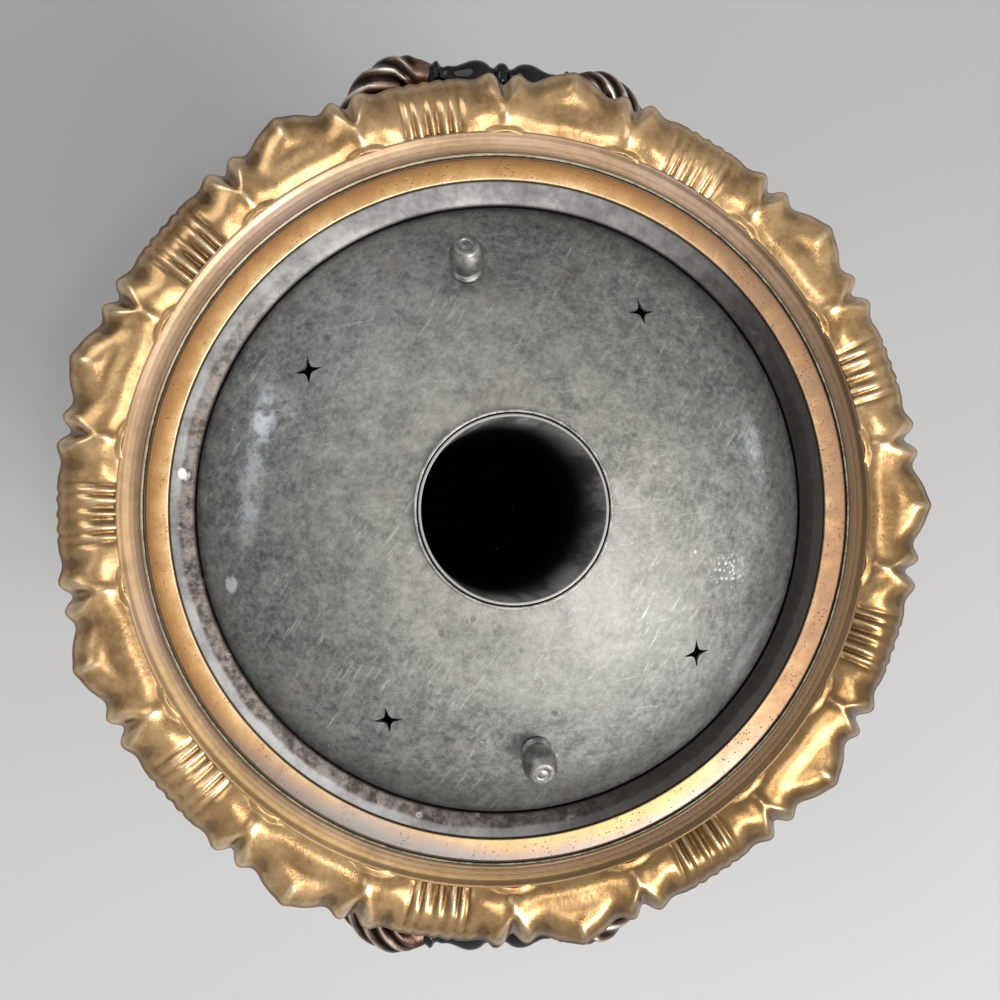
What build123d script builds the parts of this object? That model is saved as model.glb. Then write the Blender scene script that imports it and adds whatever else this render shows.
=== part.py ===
from build123d import *
from math import asin, cos, degrees, exp, hypot, pi, radians, sin, sqrt
import os

# A coal-fired samovar with a ruffled brass shoulder, with its lid on and its crown off.
# Millimetres. +Z is up, and the origin is on the table under the centre of the body.
# The tap points along +X. The right handle is on the +Y side, the left handle on the -Y side.

# Heights of the stack, from the table up
foot_height = 16.0
base_rise = 40.0
stem_rise = 38.0
waist_height = 8.0
body_height = 316.0
base_level = foot_height
stem_level = base_level + base_rise
waist_level = stem_level + stem_rise
body_level = waist_level + waist_height
ring_level = body_level + body_height

# Clearances, and a length that cuts right through any wall
gap = 0.3
running = 0.05
solder = 0.05
through = 80.0

# Neck: the bare flat ring, the grey ledge inside it and the turned cove outside it
ring_outer = 140.2
ring_inner = 131.7
ring_thick = 3.0
ring_chamfer = 0.4
ledge_inner = 122.0
ledge_slope = 1.6
ledge_drop = 1.0
ledge_wall = 1.4
ledge_depth = 12.6
lip_width = 5.0
neck_wall = 1.5
neck_depth = 17.0
seam_width = 0.9
seam_depth = 2.0
bead_width = 1.8
cove_width = 12.8
cove_depth = 10.2
cove_drop = 0.8
collar_depth = 16.0
cove_inner = ring_outer + gap + seam_width + bead_width
cove_outer = cove_inner + cove_width

# Ruffled shoulder: a wave that repeats nine times round the rim.
# skirt_rows gives how far out the skin runs under the rim, its share of the wave and its drop.
skirt_radius = 154.0
skirt_drop = 37.0
skirt_rows = ((0.68, 0.6, 27.0), (0.445, 0.3, 31.0), (0.212, 0.1, 34.2))
lobe_count = 9
first_lobe = 0.6
rim_radius = skirt_radius + 23.6
lobe_radius = rim_radius + 4.8
rim_drop = 13.2
lobe_rise = 4.0
sheet = 1.4
lip_radius = cove_outer - 6.1
lip_drop = 9.2
border_radius = lip_radius + 2.1
border_drop = 6.6
border_arch = 2.0
crest_share = 0.35
crest_drop = 4.0
slope_share = 0.75
slope_drop = 8.0
notch_at = 9.2
notch_depth = 2.6
notch_drop = 6.0
horn_out = 1.6
horn_at = 1.95
dish_at = 4.3
dish_depth = 1.8
pleat_count = 4
pleat_pitch = 2.2
pleat_depth = 1.2
fold_in = 2.0
fold_drop = 22.5

# Body of the urn: its outline from the neck down, and the bands it is soldered up from
shell_wall = 1.6
shell_foot_radius = 57.0
belly_radius = skirt_radius - 2.0
bowl_radius = 0.638 * belly_radius
body_outline = [
    (0.977 * belly_radius, -27.0),
    (belly_radius, -42.0),
    (0.993 * belly_radius, -70.0),
    (0.947 * belly_radius, -120.0),
    (0.862 * belly_radius, -175.0),
    (0.757 * belly_radius, -225.0),
    (bowl_radius, -268.0),
    (shell_foot_radius + 0.575 * (bowl_radius - shell_foot_radius), -297.0),
    (shell_foot_radius + 0.225 * (bowl_radius - shell_foot_radius), -311.0),
]
body_bands = {
    "body_shell": (0.0, -120.0),
    "body_belly": (-120.0, -225.0),
    "body_bowl": (-225.0, -285.0),
    "body_bottom": (-285.0, -body_height),
}

# Fire tube up the middle, with the grate at its foot
tube_bore = 34.5
tube_wall = 1.1
tube_proud = 33.0
tube_rise = 1.0
chamber_bore = 44.6
chamber_wall = 2.0
chamber_height = 60.0
taper_height = 110.0
tube_lip = 3.6
tube_lip_thick = 2.0
tube_clearance = 1.4
flange_share = 0.8
flange_thick = 2.4
grate_thick = 4.0
grate_gap = 0.6
grate_slots = 5
slot_width = 6.0
slot_pitch = 13.0
slot_margin = 7.0

# Lid: a dome of tinned sheet with a sleeve round the tube and a skirt at its edge
lid_edge = 121.4
lid_edge_drop = 3.5
dome_radius = 213.0
lid_sheet = 1.2
sleeve_gap = 0.5
sleeve_wall = 1.2
sleeve_height = 7.0
sleeve_proud = 2.0
skirt_wall = 1.2
vent_circle = 93.5
vent_angles = (56.0, 145.4, 240.0, 322.7)
vent_tip = 5.9
vent_waist = 1.9
vent_side = 0.55
vent_lean = 11.0
vent_turn = 8.0
knob_circle = 93.5
knob_angles = {"right": 100.0, "left": 276.5}
knob_radius = 6.7
knob_height = 16.0
knob_rows = ((0.72, 0.16), (0.98, 0.42), (1.0, 0.6), (0.78, 0.9))
stud_radius = 2.1
stud_length = 6.0
nut_radius = 4.6
nut_thick = 3.0

# Pierced stem and ruffled foot.
# base_rows gives shares of the foot's spread, of its wave and of its height.
# base_skin gives how far each row's inner skin lies inside, in wall thicknesses.
stem_foot_radius = 52.0
stem_waist_radius = 40.0
stem_top_radius = shell_foot_radius - 4.0
stem_flare = 3.2
stem_lip = 3.0
stem_wall = 2.0
air_holes = 8
air_hole_radius = 6.0
waist_bead = shell_foot_radius + 2.0
waist_edge = waist_bead - 4.0
base_radius = 104.0
base_wave = 3.0
base_top_radius = 50.0
base_wall = 2.2
base_rows = (
    (1.0, 1.0, 0.0),
    (1.0, 1.0, 0.1),
    (0.907, 0.9, 0.225),
    (0.63, 0.5, 0.4),
    (0.278, 0.2, 0.65),
    (0.056, 0.0, 0.85),
    (0.0, 0.0, 1.0),
)
base_skin = ((1, 0), (1, 0.3), (0.8, 0.6), (0.4, 0.9), (0.6, 0.8), (1, 0.2), (1, 0))
plate_thick = 2.5
foot_circle = 85.0
foot_radius = 13.0
foot_rows = ((0.66, 0.075), (0.96, 0.3), (0.98, 0.52), (0.5, 0.86))
foot_seat = 0.62
foot_names = {"front_right": 45, "rear_right": 135, "rear_left": 225, "front_left": 315}
screw_radius = 2.5
screw_head = 5.0
screw_head_thick = 3.0

# Handles: a turned black grip on a rod between two curved arms.
# They sit a little out of line, as the photograph shows.
# grip_rows gives shares of half the grip's length and of its biggest bead's radius.
# arm_rows gives shares of the span along, down and of the radius, with the direction there.
handle_angles = {"right": 89.6, "left": 269.65}
handle_turns = {"right": -2.6, "left": 180.4}
handle_reach = {"right": rim_radius + 5.6, "left": rim_radius + 2.2}
grip_length = 62.0
grip_bead = 7.8
grip_rows = (
    (0.0, 0.94),
    (0.052, 0.9),
    (0.11, 0.66),
    (0.194, 0.8),
    (0.365, 1.0),
    (0.548, 0.76),
    (0.758, 0.59),
    (0.852, 0.614),
    (0.913, 0.82),
    (1.0, 0.59),
)
grip_drop = 33.0
rod_radius = 3.0
rod_grasp = 8.0
arm_radius = 8.0
arm_span = 33.0
arm_rows = (
    (0.0, 0.0, 0.0, 0.72, (1, 0, 0)),
    (0.33, 0.024, -0.06, 0.95, (1, 0, -0.3)),
    (0.73, -0.12, -0.27, 1.0, (0.62, -0.75, -0.6)),
    (0.97, -0.58, -0.67, 1.0, (0.25, -0.9, -0.5)),
)
arm_end_way = (0.1, -1, -0.35)
arm_end_share = 0.9
pad_radius = 15.0
pad_proud = 2.5
pad_sink = 2.0
bolt_radius = 2.5
bolt_head = 5.0
bolt_head_thick = 2.5
bolt_grasp = 9.0

# Tap at the front
tap_drop = 268.0
pipe_radius = 9.0
water_bore = 5.0
rosette_radius = 23.0
rosette_thick = 4.5
rosette_edge = 2.0
tap_reach = 51.0
tap_inlet = 16.0
barrel_radius = 13.5
barrel_height = 36.0
barrel_bevel = 2.5
plug_top_radius = 9.0
plug_taper = 1.0
spout_radius = 7.0
spout_bore = 4.5
spout_bend = 13.0
spout_drop = 20.0
spout_reach = 26.0
spout_lip = 1.2
spout_lip_height = 4.0
tap_stem_radius = 5.0
tap_stem_height = 12.0
key_width = 46.0
key_height = 38.0
key_thick = 5.0
key_lobe = 0.24 * key_width
key_eye = 0.42 * key_lobe
key_shoulder = 15.0
key_neck = 14.0
key_bar = 10.0
key_socket_wall = 3.0
tap_thread_radius = 4.0
tap_nut_radius = 8.5
tap_nut_height = 5.0
washer_thick = 1.5
back_nut_thick = 5.0
back_nut_set = 8.5


def bump(x):
    return exp(-x * x)


def point(radius, angle, height):
    return Vector(radius * cos(radians(angle)), radius * sin(radians(angle)), height)


def turned(*corners):
    """A solid turned about Z from straight-sided (radius, height) corners."""
    return revolve(make_face(Polyline(*[(r, 0, z) for r, z in corners], close=True)), Axis.Z)


def turned_edges(*edges):
    return revolve(make_face(list(edges)), Axis.Z)


def smooth(outline):
    return Spline(*[(r, 0, z) for r, z in outline])


def straight(*corners):
    return Polyline(*[(r, 0, z) for r, z in corners])


def disc(radius, height):
    """A round bar that stands on the level plane."""
    return Cylinder(radius, height, align=(Align.CENTER, Align.CENTER, Align.MIN))


def inset(outline, wall):
    """The same outline moved inwards, square to itself, by the wall's thickness."""
    moved = []
    for i, (r, z) in enumerate(outline):
        before = outline[max(i - 1, 0)]
        after = outline[min(i + 1, len(outline) - 1)]
        dr = after[0] - before[0]
        dz = after[1] - before[1]
        length = hypot(dr, dz)
        moved.append((r + wall * dz / length, z - wall * dr / length))
    return moved


def save(name, *solids):
    shape = solids[0] if len(solids) == 1 else Compound(list(solids))
    export_step(shape, f"parts/{name}.step")


# Ruffle


def off_lobe(angle):
    """Degrees from the nearest lobe's crest."""
    period = 360 / lobe_count
    return abs((angle - first_lobe + period / 2) % period - period / 2)


def pleat(off):
    """1 in the bottom of a pleat's groove and 0 on its ridges and away from the pleats."""
    across = 180 / lobe_count - off
    if across > pleat_count * pleat_pitch / 2:
        return 0
    return (1 - cos(2 * pi * across / pleat_pitch)) / 2


def rim(off):
    """Radius of the ruffled edge: a pointed lobe, a dish, then a notch between two horns."""
    radius = rim_radius + (lobe_radius - rim_radius) * bump(off / 1.9)
    radius += horn_out * bump((off - notch_at - horn_at) / 1.1)
    radius += horn_out * bump((off - notch_at + horn_at) / 1.1)
    radius -= notch_depth * bump(off - notch_at)
    radius -= dish_depth * bump((off - dish_at) / 1.6)
    return radius - 0.6 * pleat_depth * pleat(off)


def rim_rise(off):
    """How far the edge stands above its usual height: up at a lobe and down in a notch."""
    return lobe_rise * bump(off / 2.6) - notch_drop * bump(off - notch_at)


def border(off):
    """Radius of the ruffle's inner edge, which arches outwards at each notch."""
    return border_radius + border_arch * bump((off - notch_at) / 3)


def ruffle_profile(off):
    """The ruffle's outer outline at one angle, from its lip at the cove to its skirt."""
    inner = border(off)
    outer = rim(off)
    across = outer - inner
    groove = pleat_depth * pleat(off)
    rise = rim_rise(off)
    below = [
        (skirt_radius + share * (rim_radius - skirt_radius) + wave * (outer - rim_radius), -drop)
        for share, wave, drop in skirt_rows
    ]
    return [
        (lip_radius, -lip_drop),
        (inner, -border_drop - 0.5 * groove),
        (inner + crest_share * across, -crest_drop - groove),
        (inner + slope_share * across, -slope_drop - groove + 0.5 * rise),
        (outer, -rim_drop + rise),
        (outer - fold_in, -fold_drop + 0.3 * rise),
        *below,
        (skirt_radius, -skirt_drop),
    ]


def wave_angles():
    """Angles across each wave, closer together where the edge turns more sharply."""
    half = [0, 1, 2, 3, 4.3, 5.6, 6.6, 7.3, 8.2, 9.2, 10.2, 11.1, 12, 13.5]
    across = pleat_count * pleat_pitch / 2
    steps = 4 * pleat_count // 2
    half += [180 / lobe_count - across * (1 - k / steps) for k in range(steps + 1)]
    wave = [-a for a in reversed(half[1:])] + half
    return [[first_lobe + 360 / lobe_count * k + a for a in wave] for k in range(lobe_count)]


def ring_wire(waves, outline, row, level):
    """One row of a waved surface, as a curve for each wave joined end to end."""
    curves = []
    for angles in waves:
        points = [point(outline(a)[row][0], a, level + outline(a)[row][1]) for a in angles]
        ends = [Vector(-sin(radians(a)), cos(radians(a)), 0) for a in (angles[0], angles[-1])]
        spacing = [(a - angles[0]) / (angles[-1] - angles[0]) for a in angles]
        curves.append(Edge.make_spline(points, tangents=ends, parameters=spacing, scale=True))
    return Wire(curves)


def waved_shell(waves, outer, inner, level):
    """A thin closed shell between two waved surfaces, with flat ends."""
    rows = range(len(outer(waves[0][0])))
    outer_rings = [ring_wire(waves, outer, row, level) for row in rows]
    inner_rings = [ring_wire(waves, inner, row, level) for row in rows]
    faces = []
    for rings in (outer_rings, inner_rings):
        faces += [face for face in Solid.make_loft(rings).faces() if not face.is_planar]
    for end in (0, -1):
        big, small = sorted((outer_rings[end], inner_rings[end]), key=lambda w: -w.length)
        faces.append(Face(big, [small]))
    return Solid(Shell(faces))


def ruffle_outer(angle):
    return ruffle_profile(off_lobe(angle))


def ruffle_inner(angle):
    outline = inset(ruffle_outer(angle), sheet)
    outline[0] = (lip_radius + sheet, -lip_drop)
    outline[-1] = (skirt_radius - sheet, -skirt_drop)
    return outline


def make_shoulder():
    save("shoulder_drape", waved_shell(wave_angles(), ruffle_outer, ruffle_inner, ring_level))


# Neck


def make_neck():
    top = ring_level
    below_ring = top - ring_thick
    c = ring_chamfer
    ring = turned(
        (ring_inner + c, top),
        (ring_outer - c, top),
        (ring_outer, top - c),
        (ring_outer, below_ring),
        (ring_inner, below_ring),
        (ring_inner, top - c),
    )
    save("neck_ring", ring)

    seat = top - ledge_depth
    ledge_top = top - ledge_drop
    outside = ring_outer - neck_wall - solder
    wall = ledge_inner + ledge_wall
    ledge = turned(
        (ring_inner - gap, ledge_top),
        (ledge_inner, ledge_top - ledge_slope),
        (ledge_inner, seat),
        (ledge_inner - lip_width, seat),
        (ledge_inner - lip_width, seat - ledge_wall),
        (wall, seat - ledge_wall),
        (wall, below_ring - ledge_wall),
        (outside, below_ring - ledge_wall),
        (outside, below_ring),
        (ring_inner - gap, below_ring),
    )
    save("inner_ledge", ledge)

    inside = ring_outer + gap
    bead = inside + seam_width
    cove_high = top - cove_drop
    cove_low = cove_high - cove_depth
    radius = (cove_width**2 + cove_depth**2) / (2 * cove_depth)
    turn = asin(cove_width / radius) / 2
    middle = (
        cove_outer - radius * sin(turn),
        0,
        cove_low + radius - radius * cos(turn),
    )
    cove = ThreePointArc((cove_inner, 0, cove_high), middle, (cove_outer, 0, cove_low))
    rest = straight(
        (cove_outer, cove_low),
        (cove_outer, cove_low - ledge_wall),
        (cove_inner, cove_low - ledge_wall),
        (bead + 0.5 * bead_width, top - collar_depth),
        (inside, top - collar_depth),
        (inside, top - seam_depth),
        (bead, top - seam_depth),
        (bead, top - 0.5 * cove_drop),
        (bead + 0.25 * bead_width, top - 0.25 * cove_drop),
        (cove_inner, cove_high),
    )
    save("cove_collar", turned_edges(cove, rest))


# Body


def shell_outline():
    """The body's outside from the foot of the neck down to its bottom flange."""
    belly = [(r, ring_level + z) for r, z in body_outline]
    return [(ring_outer, ring_level - neck_depth)] + belly + [(shell_foot_radius, body_level)]


def body_radius(height):
    """Outside radius of the body at a height, read between its outline's points."""
    outline = shell_outline()
    for (r1, z1), (r2, z2) in zip(outline, outline[1:]):
        if z2 <= height <= z1:
            return r2 + (r1 - r2) * (height - z2) / (z1 - z2)
    return outline[-1][0]


def body_block(extra):
    """The body filled solid and grown a little, to cut what seats on its curved wall."""
    grown = inset(shell_outline(), -extra)
    top = grown[0][1]
    low = grown[-1][1]
    rest = straight((grown[-1][0], low), (0, low), (0, top), (grown[0][0], top))
    return turned_edges(smooth(grown), rest)


def make_body():
    outer = shell_outline()
    inner = inset(outer, shell_wall)
    neck_top = ring_level - ring_thick
    neck_inside = ring_outer - neck_wall
    floor = body_level + shell_wall
    inner[0] = (neck_inside, outer[0][1])
    inner[-1] = (shell_foot_radius - shell_wall, floor)
    mouth = straight(
        (neck_inside, inner[0][1]),
        (neck_inside, neck_top),
        (ring_outer, neck_top),
        (ring_outer, outer[0][1]),
    )
    flange_edge = chamber_bore + chamber_wall + tube_clearance
    flange = straight(
        (shell_foot_radius, body_level),
        (flange_edge, body_level),
        (flange_edge, floor),
        (shell_foot_radius - shell_wall, floor),
    )
    shell = turned_edges(smooth(outer), mouth, smooth(inner), flange)
    holes = [tap_axis() * Cylinder(pipe_radius + running, through)]
    for side in handle_angles:
        for end in (-1, 1):
            holes.append(pad_place(side, end) * Cylinder(bolt_radius + running, 2 * bolt_grasp))
    for name, (high, low) in body_bands.items():
        band = disc(1.5 * belly_radius, high - low - solder)
        save(name, (shell & Pos(0, 0, ring_level + low) * band) - holes)


# Fire tube and grate


def make_fire_tube():
    foot = waist_level + tube_rise
    inside_low = chamber_bore
    outside_low = chamber_bore + chamber_wall
    top = ring_level + tube_proud
    straight_from = foot + chamber_height + taper_height
    tube = turned(
        (outside_low, foot),
        (outside_low, foot + chamber_height),
        (tube_bore + tube_wall, straight_from),
        (tube_bore + tube_wall, top),
        (tube_bore, top),
        (tube_bore, straight_from),
        (inside_low, foot + chamber_height),
        (inside_low, foot + tube_lip_thick),
        (inside_low - tube_lip, foot + tube_lip_thick),
        (inside_low - tube_lip, foot),
    )
    save("fire_tube", tube)

    bore = outside_low + solder
    flange = body_level + shell_wall
    width = flange_share * (shell_foot_radius - shell_wall - bore)
    save(
        "tube_flange",
        turned(
            (bore, flange),
            (bore + width, flange),
            (bore + width, flange + flange_thick),
            (bore + 0.3 * width, flange + flange_thick),
            (bore, flange + 2 * flange_thick),
        ),
    )

    grate = disc(chamber_bore - grate_gap, grate_thick)
    for k in range(grate_slots):
        y = (k - (grate_slots - 1) / 2) * slot_pitch
        length = 2 * sqrt((chamber_bore - slot_margin) ** 2 - y * y)
        slot = extrude(SlotOverall(length, slot_width), grate_thick, both=True)
        grate -= Pos(0, y, grate_thick / 2) * slot
    save("grate", Pos(0, 0, foot + tube_lip_thick) * grate)


# Lid


def dome_height(radius, sphere=dome_radius):
    """Height of the lid's outside, or of a sphere of another radius on its centre."""
    centre = ring_level - lid_edge_drop - sqrt(dome_radius**2 - lid_edge**2)
    return centre + sqrt(sphere**2 - radius**2)


def dome_arc(low, high, sphere=dome_radius):
    middle = (low + high) / 2
    return ThreePointArc(
        (low, 0, dome_height(low, sphere)),
        (middle, 0, dome_height(middle, sphere)),
        (high, 0, dome_height(high, sphere)),
    )


def on_dome(circle, angle):
    """A frame on the lid's outside, with its Z square to the sheet."""
    tilt = degrees(asin(circle / dome_radius))
    return Pos(*point(circle, angle, dome_height(circle))) * Rot(0, 0, angle) * Rot(0, tilt, 0)


def star():
    """A four-pointed hole with sides that curve inwards."""
    sides = []
    for k in range(4):
        near = [point(vent_side * vent_tip, 90 * k + turn, 0) for turn in (vent_lean, 90 - vent_lean)]
        ends = [point(vent_tip, 90 * k + turn, 0) for turn in (0, 90)]
        waist = point(vent_waist, 90 * k + 45, 0)
        sides.append(Spline(ends[0], near[0], waist, near[1], ends[1]))
    return make_face(sides)


def make_lid():
    under = dome_radius - lid_sheet
    sleeve_bore = tube_bore + tube_wall + sleeve_gap
    hole = sleeve_bore + sleeve_wall + solder
    outside = dome_arc(hole, lid_edge)
    inside = dome_arc(hole, lid_edge, under)
    plate = turned_edges(
        outside,
        Line(outside @ 1, inside @ 1),
        inside,
        Line(inside @ 0, outside @ 0),
    )
    for angle in vent_angles:
        cut = extrude(star(), vent_tip, both=True)
        plate -= on_dome(vent_circle, angle) * Rot(0, 0, vent_turn - angle) * cut
    for angle in knob_angles.values():
        plate -= on_dome(knob_circle, angle) * Cylinder(stud_radius + running, 2 * stud_length)
    save("lid_plate", plate)

    rise = dome_height(hole) + sleeve_proud
    save(
        "lid_sleeve",
        turned(
            (sleeve_bore, rise - sleeve_height),
            (sleeve_bore + sleeve_wall, rise - sleeve_height),
            (sleeve_bore + sleeve_wall, rise),
            (sleeve_bore, rise),
        ),
    )

    outer = lid_edge - gap
    seat = ring_level - ledge_depth
    skirt_top = dome_height(outer, under) - gap
    save(
        "lid_skirt",
        turned(
            (outer - skirt_wall, seat),
            (outer, seat),
            (outer, skirt_top),
            (outer - skirt_wall, skirt_top),
        ),
    )

    for side, angle in knob_angles.items():
        save(f"lid_knob_{side}", on_dome(knob_circle, angle) * knob())
    nut = extrude(RegularPolygon(nut_radius, 6), -nut_thick) - Cylinder(stud_radius + running, through)
    low = Pos(0, 0, -lid_sheet - 2 * running)
    save("lid_knob_nuts", *[on_dome(knob_circle, a) * low * nut for a in knob_angles.values()])


def knob():
    """A turned barrel on a collar, with its stud below the lid's outside."""
    outline = [(r * knob_radius, z * knob_height) for r, z in knob_rows]
    base = 2 * running
    collar = 0.84 * knob_radius
    foot = straight(
        outline[0],
        (collar, 0.1 * knob_height),
        (collar, base),
        (stud_radius, base),
        (stud_radius, -stud_length),
        (0, -stud_length),
        (0, knob_height),
        (0.62 * knob_radius, knob_height),
        outline[-1],
    )
    return turned_edges(smooth(outline), foot)


# Stem and foot


def make_stem():
    outline = [
        (stem_foot_radius, stem_level + stem_lip + 1),
        (stem_waist_radius + stem_flare, stem_level + 0.28 * stem_rise),
        (stem_waist_radius, stem_level + 0.5 * stem_rise),
        (stem_waist_radius + stem_flare, stem_level + 0.74 * stem_rise),
        (stem_top_radius, waist_level),
    ]
    inner = [(r - stem_wall, z) for r, z in outline]
    ends = (
        straight(outline[-1], inner[-1]),
        straight(
            inner[0],
            (stem_foot_radius - stem_wall - stem_lip, stem_level),
            (stem_foot_radius + stem_wall, stem_level),
            (stem_foot_radius + stem_wall, stem_level + stem_lip),
            outline[0],
        ),
    )
    stem = turned_edges(smooth(outline), smooth(inner), *ends)
    middle = Pos(0, 0, stem_level + 0.5 * stem_rise)
    for k in range(air_holes):
        hole = Rot(0, 0, 360 / air_holes * k) * Rot(0, 90, 0) * Pos(0, 0, stem_waist_radius)
        stem -= middle * hole * Cylinder(air_hole_radius, 10 * stem_wall)
    save("foot_stem", stem)

    inside = chamber_bore + chamber_wall + gap
    bulge = ThreePointArc(
        (waist_edge, 0, waist_level),
        (waist_bead, 0, waist_level + waist_height / 2),
        (waist_edge, 0, body_level),
    )
    rest = straight(
        (waist_edge, body_level),
        (inside, body_level),
        (inside, waist_level),
        (waist_edge, waist_level),
    )
    save("waist_ring", turned_edges(bulge, rest))


def base_profile(angle, wall):
    """The foot's outline at one angle: waved at the table and round at the stem."""
    wave = base_wave * cos(radians(lobe_count * (angle - first_lobe)))
    spread = base_radius - base_top_radius
    outline = []
    for (out, waved, up), (inwards, down) in zip(base_rows, base_skin):
        radius = base_top_radius + out * spread + waved * wave - inwards * wall
        outline.append((radius, base_level + up * base_rise - down * wall))
    return outline


def make_foot():
    period = 360 / lobe_count
    waves = [
        [first_lobe + period * (k + step / 8 - 0.5) for step in range(9)] for k in range(lobe_count)
    ]
    save(
        "foot_base",
        waved_shell(waves, lambda a: base_profile(a, 0), lambda a: base_profile(a, base_wall), 0),
    )

    plate_edge = base_radius - base_wave - base_wall - gap
    plate = Pos(0, 0, base_level) * disc(plate_edge, plate_thick)
    bun = [(r * foot_radius, z * foot_height) for r, z in foot_rows]
    seat = foot_seat * foot_radius
    rest = straight(
        bun[-1],
        (seat, 0.92 * foot_height),
        (seat, foot_height),
        (screw_radius + running, foot_height),
        (screw_radius + running, foot_height / 2),
        (0, foot_height / 2),
        (0, 0),
        (0.6 * foot_radius, 0),
        bun[0],
    )
    bun_foot = turned_edges(smooth(bun), rest)
    head_level = base_level + plate_thick
    screws = []
    for name, angle in foot_names.items():
        place = Pos(*point(foot_circle, angle, 0))
        save(f"foot_{name}", place * bun_foot)
        plate -= place * Cylinder(screw_radius + running, through)
        screws.append(
            place
            * turned(
                (0, foot_height / 2 + 1),
                (screw_radius, foot_height / 2 + 1),
                (screw_radius, head_level),
                (screw_head, head_level),
                (screw_head, head_level + 0.6 * screw_head_thick),
                (0.5 * screw_head, head_level + screw_head_thick),
                (0, head_level + screw_head_thick),
            )
        )
    save("foot_plate", plate)
    save("foot_screws", *screws)


# Handles


def handle_frame(side):
    """Frame of a handle: X along the grip, Y outwards, Z up, at the grip's middle."""
    middle = point(handle_reach[side], handle_angles[side], ring_level - grip_drop)
    return Pos(*middle) * Rot(0, 0, handle_turns[side])


def arm_stations(side):
    """Centres, directions and radii down one arm, from the grip's end to its pad."""
    end = grip_length / 2
    stations = [
        ((end + along * arm_span, out * arm_span, up * arm_span), way, share * arm_radius)
        for along, out, up, share, way in arm_rows
    ]
    foot = end + arm_span
    wall = body_radius(ring_level - grip_drop - arm_span)
    inwards = sqrt(wall**2 - foot**2) - pad_sink - handle_reach[side]
    stations.append(((foot, inwards, -arm_span), arm_end_way, arm_end_share * arm_radius))
    return stations


def pad_place(side, end):
    """Frame at the middle of an arm's pad on the body, with Z square to the body's axis."""
    frame = handle_frame(side)
    centre, _, _ = arm_stations(side)[-1]
    spot = (frame * Pos(end * centre[0], centre[1], centre[2])).position
    angle = degrees(asin(spot.Y / hypot(spot.X, spot.Y)))
    if spot.X < 0:
        angle = 180 - angle
    radius = body_radius(spot.Z)
    return Pos(*point(radius, angle, spot.Z)) * Rot(0, 0, angle) * Rot(0, 90, 0)


def make_handles():
    block = body_block(gap / 2)
    bolts = []
    grip = make_grip()
    rod = Rot(0, 90, 0) * Cylinder(rod_radius, grip_length + 2 * rod_grasp)
    for side in handle_angles:
        frame = handle_frame(side)
        save(f"{side}_handle_grip", frame * grip)
        save(f"{side}_handle_rod", frame * rod)
        for end in (1, -1):
            rings = []
            for centre, way, radius in arm_stations(side):
                middle = (end * centre[0], centre[1], centre[2])
                place = Plane(origin=middle, z_dir=(end * way[0], way[1], way[2]))
                rings.append(Wire(Edge.make_circle(radius, place)))
            arm = Solid.make_loft(rings)
            bore = Rot(0, 90, 0) * Cylinder(rod_radius + running, grip_length + 2 * rod_grasp + gap)
            pad = pad_place(side, end)
            bracket = frame * arm
            bracket += pad * Pos(0, 0, -pad_radius) * disc(pad_radius, pad_radius + pad_proud)
            bracket -= block
            bracket -= frame * bore
            bracket -= pad * Cylinder(bolt_radius + running, 2 * bolt_grasp)
            where = "front" if (frame * Pos(end, 0, 0)).position.X > frame.position.X else "rear"
            save(f"{side}_handle_{where}_arm", bracket)
            bolts.append(pad * handle_bolt())
    save("handle_bolts", *bolts)


def handle_bolt():
    """A bolt from inside the body into an arm's pad."""
    low = -shell_wall - 4 * gap
    return turned(
        (0, low - bolt_head_thick),
        (bolt_head, low - bolt_head_thick),
        (bolt_head, low),
        (bolt_radius, low),
        (bolt_radius, bolt_grasp - 1),
        (0, bolt_grasp - 1),
    )


def make_grip():
    """The turned grip along X: a ring in the middle, two long beads and two small ones."""
    half = [(x * grip_length / 2, r * grip_bead) for x, r in grip_rows]
    outline = [(r, -x) for x, r in reversed(half[1:])] + [(r, x) for x, r in half]
    ends = straight(
        outline[-1],
        (rod_radius + running, grip_length / 2),
        (rod_radius + running, -grip_length / 2),
        outline[0],
    )
    return Rot(0, 90, 0) * turned_edges(smooth(outline), ends)


# Tap


def tap_axis():
    """Frame with Z along the tap's water pipe, at the body's wall."""
    level = ring_level - tap_drop
    return Pos(body_radius(level), 0, level) * Rot(0, 90, 0)


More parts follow.
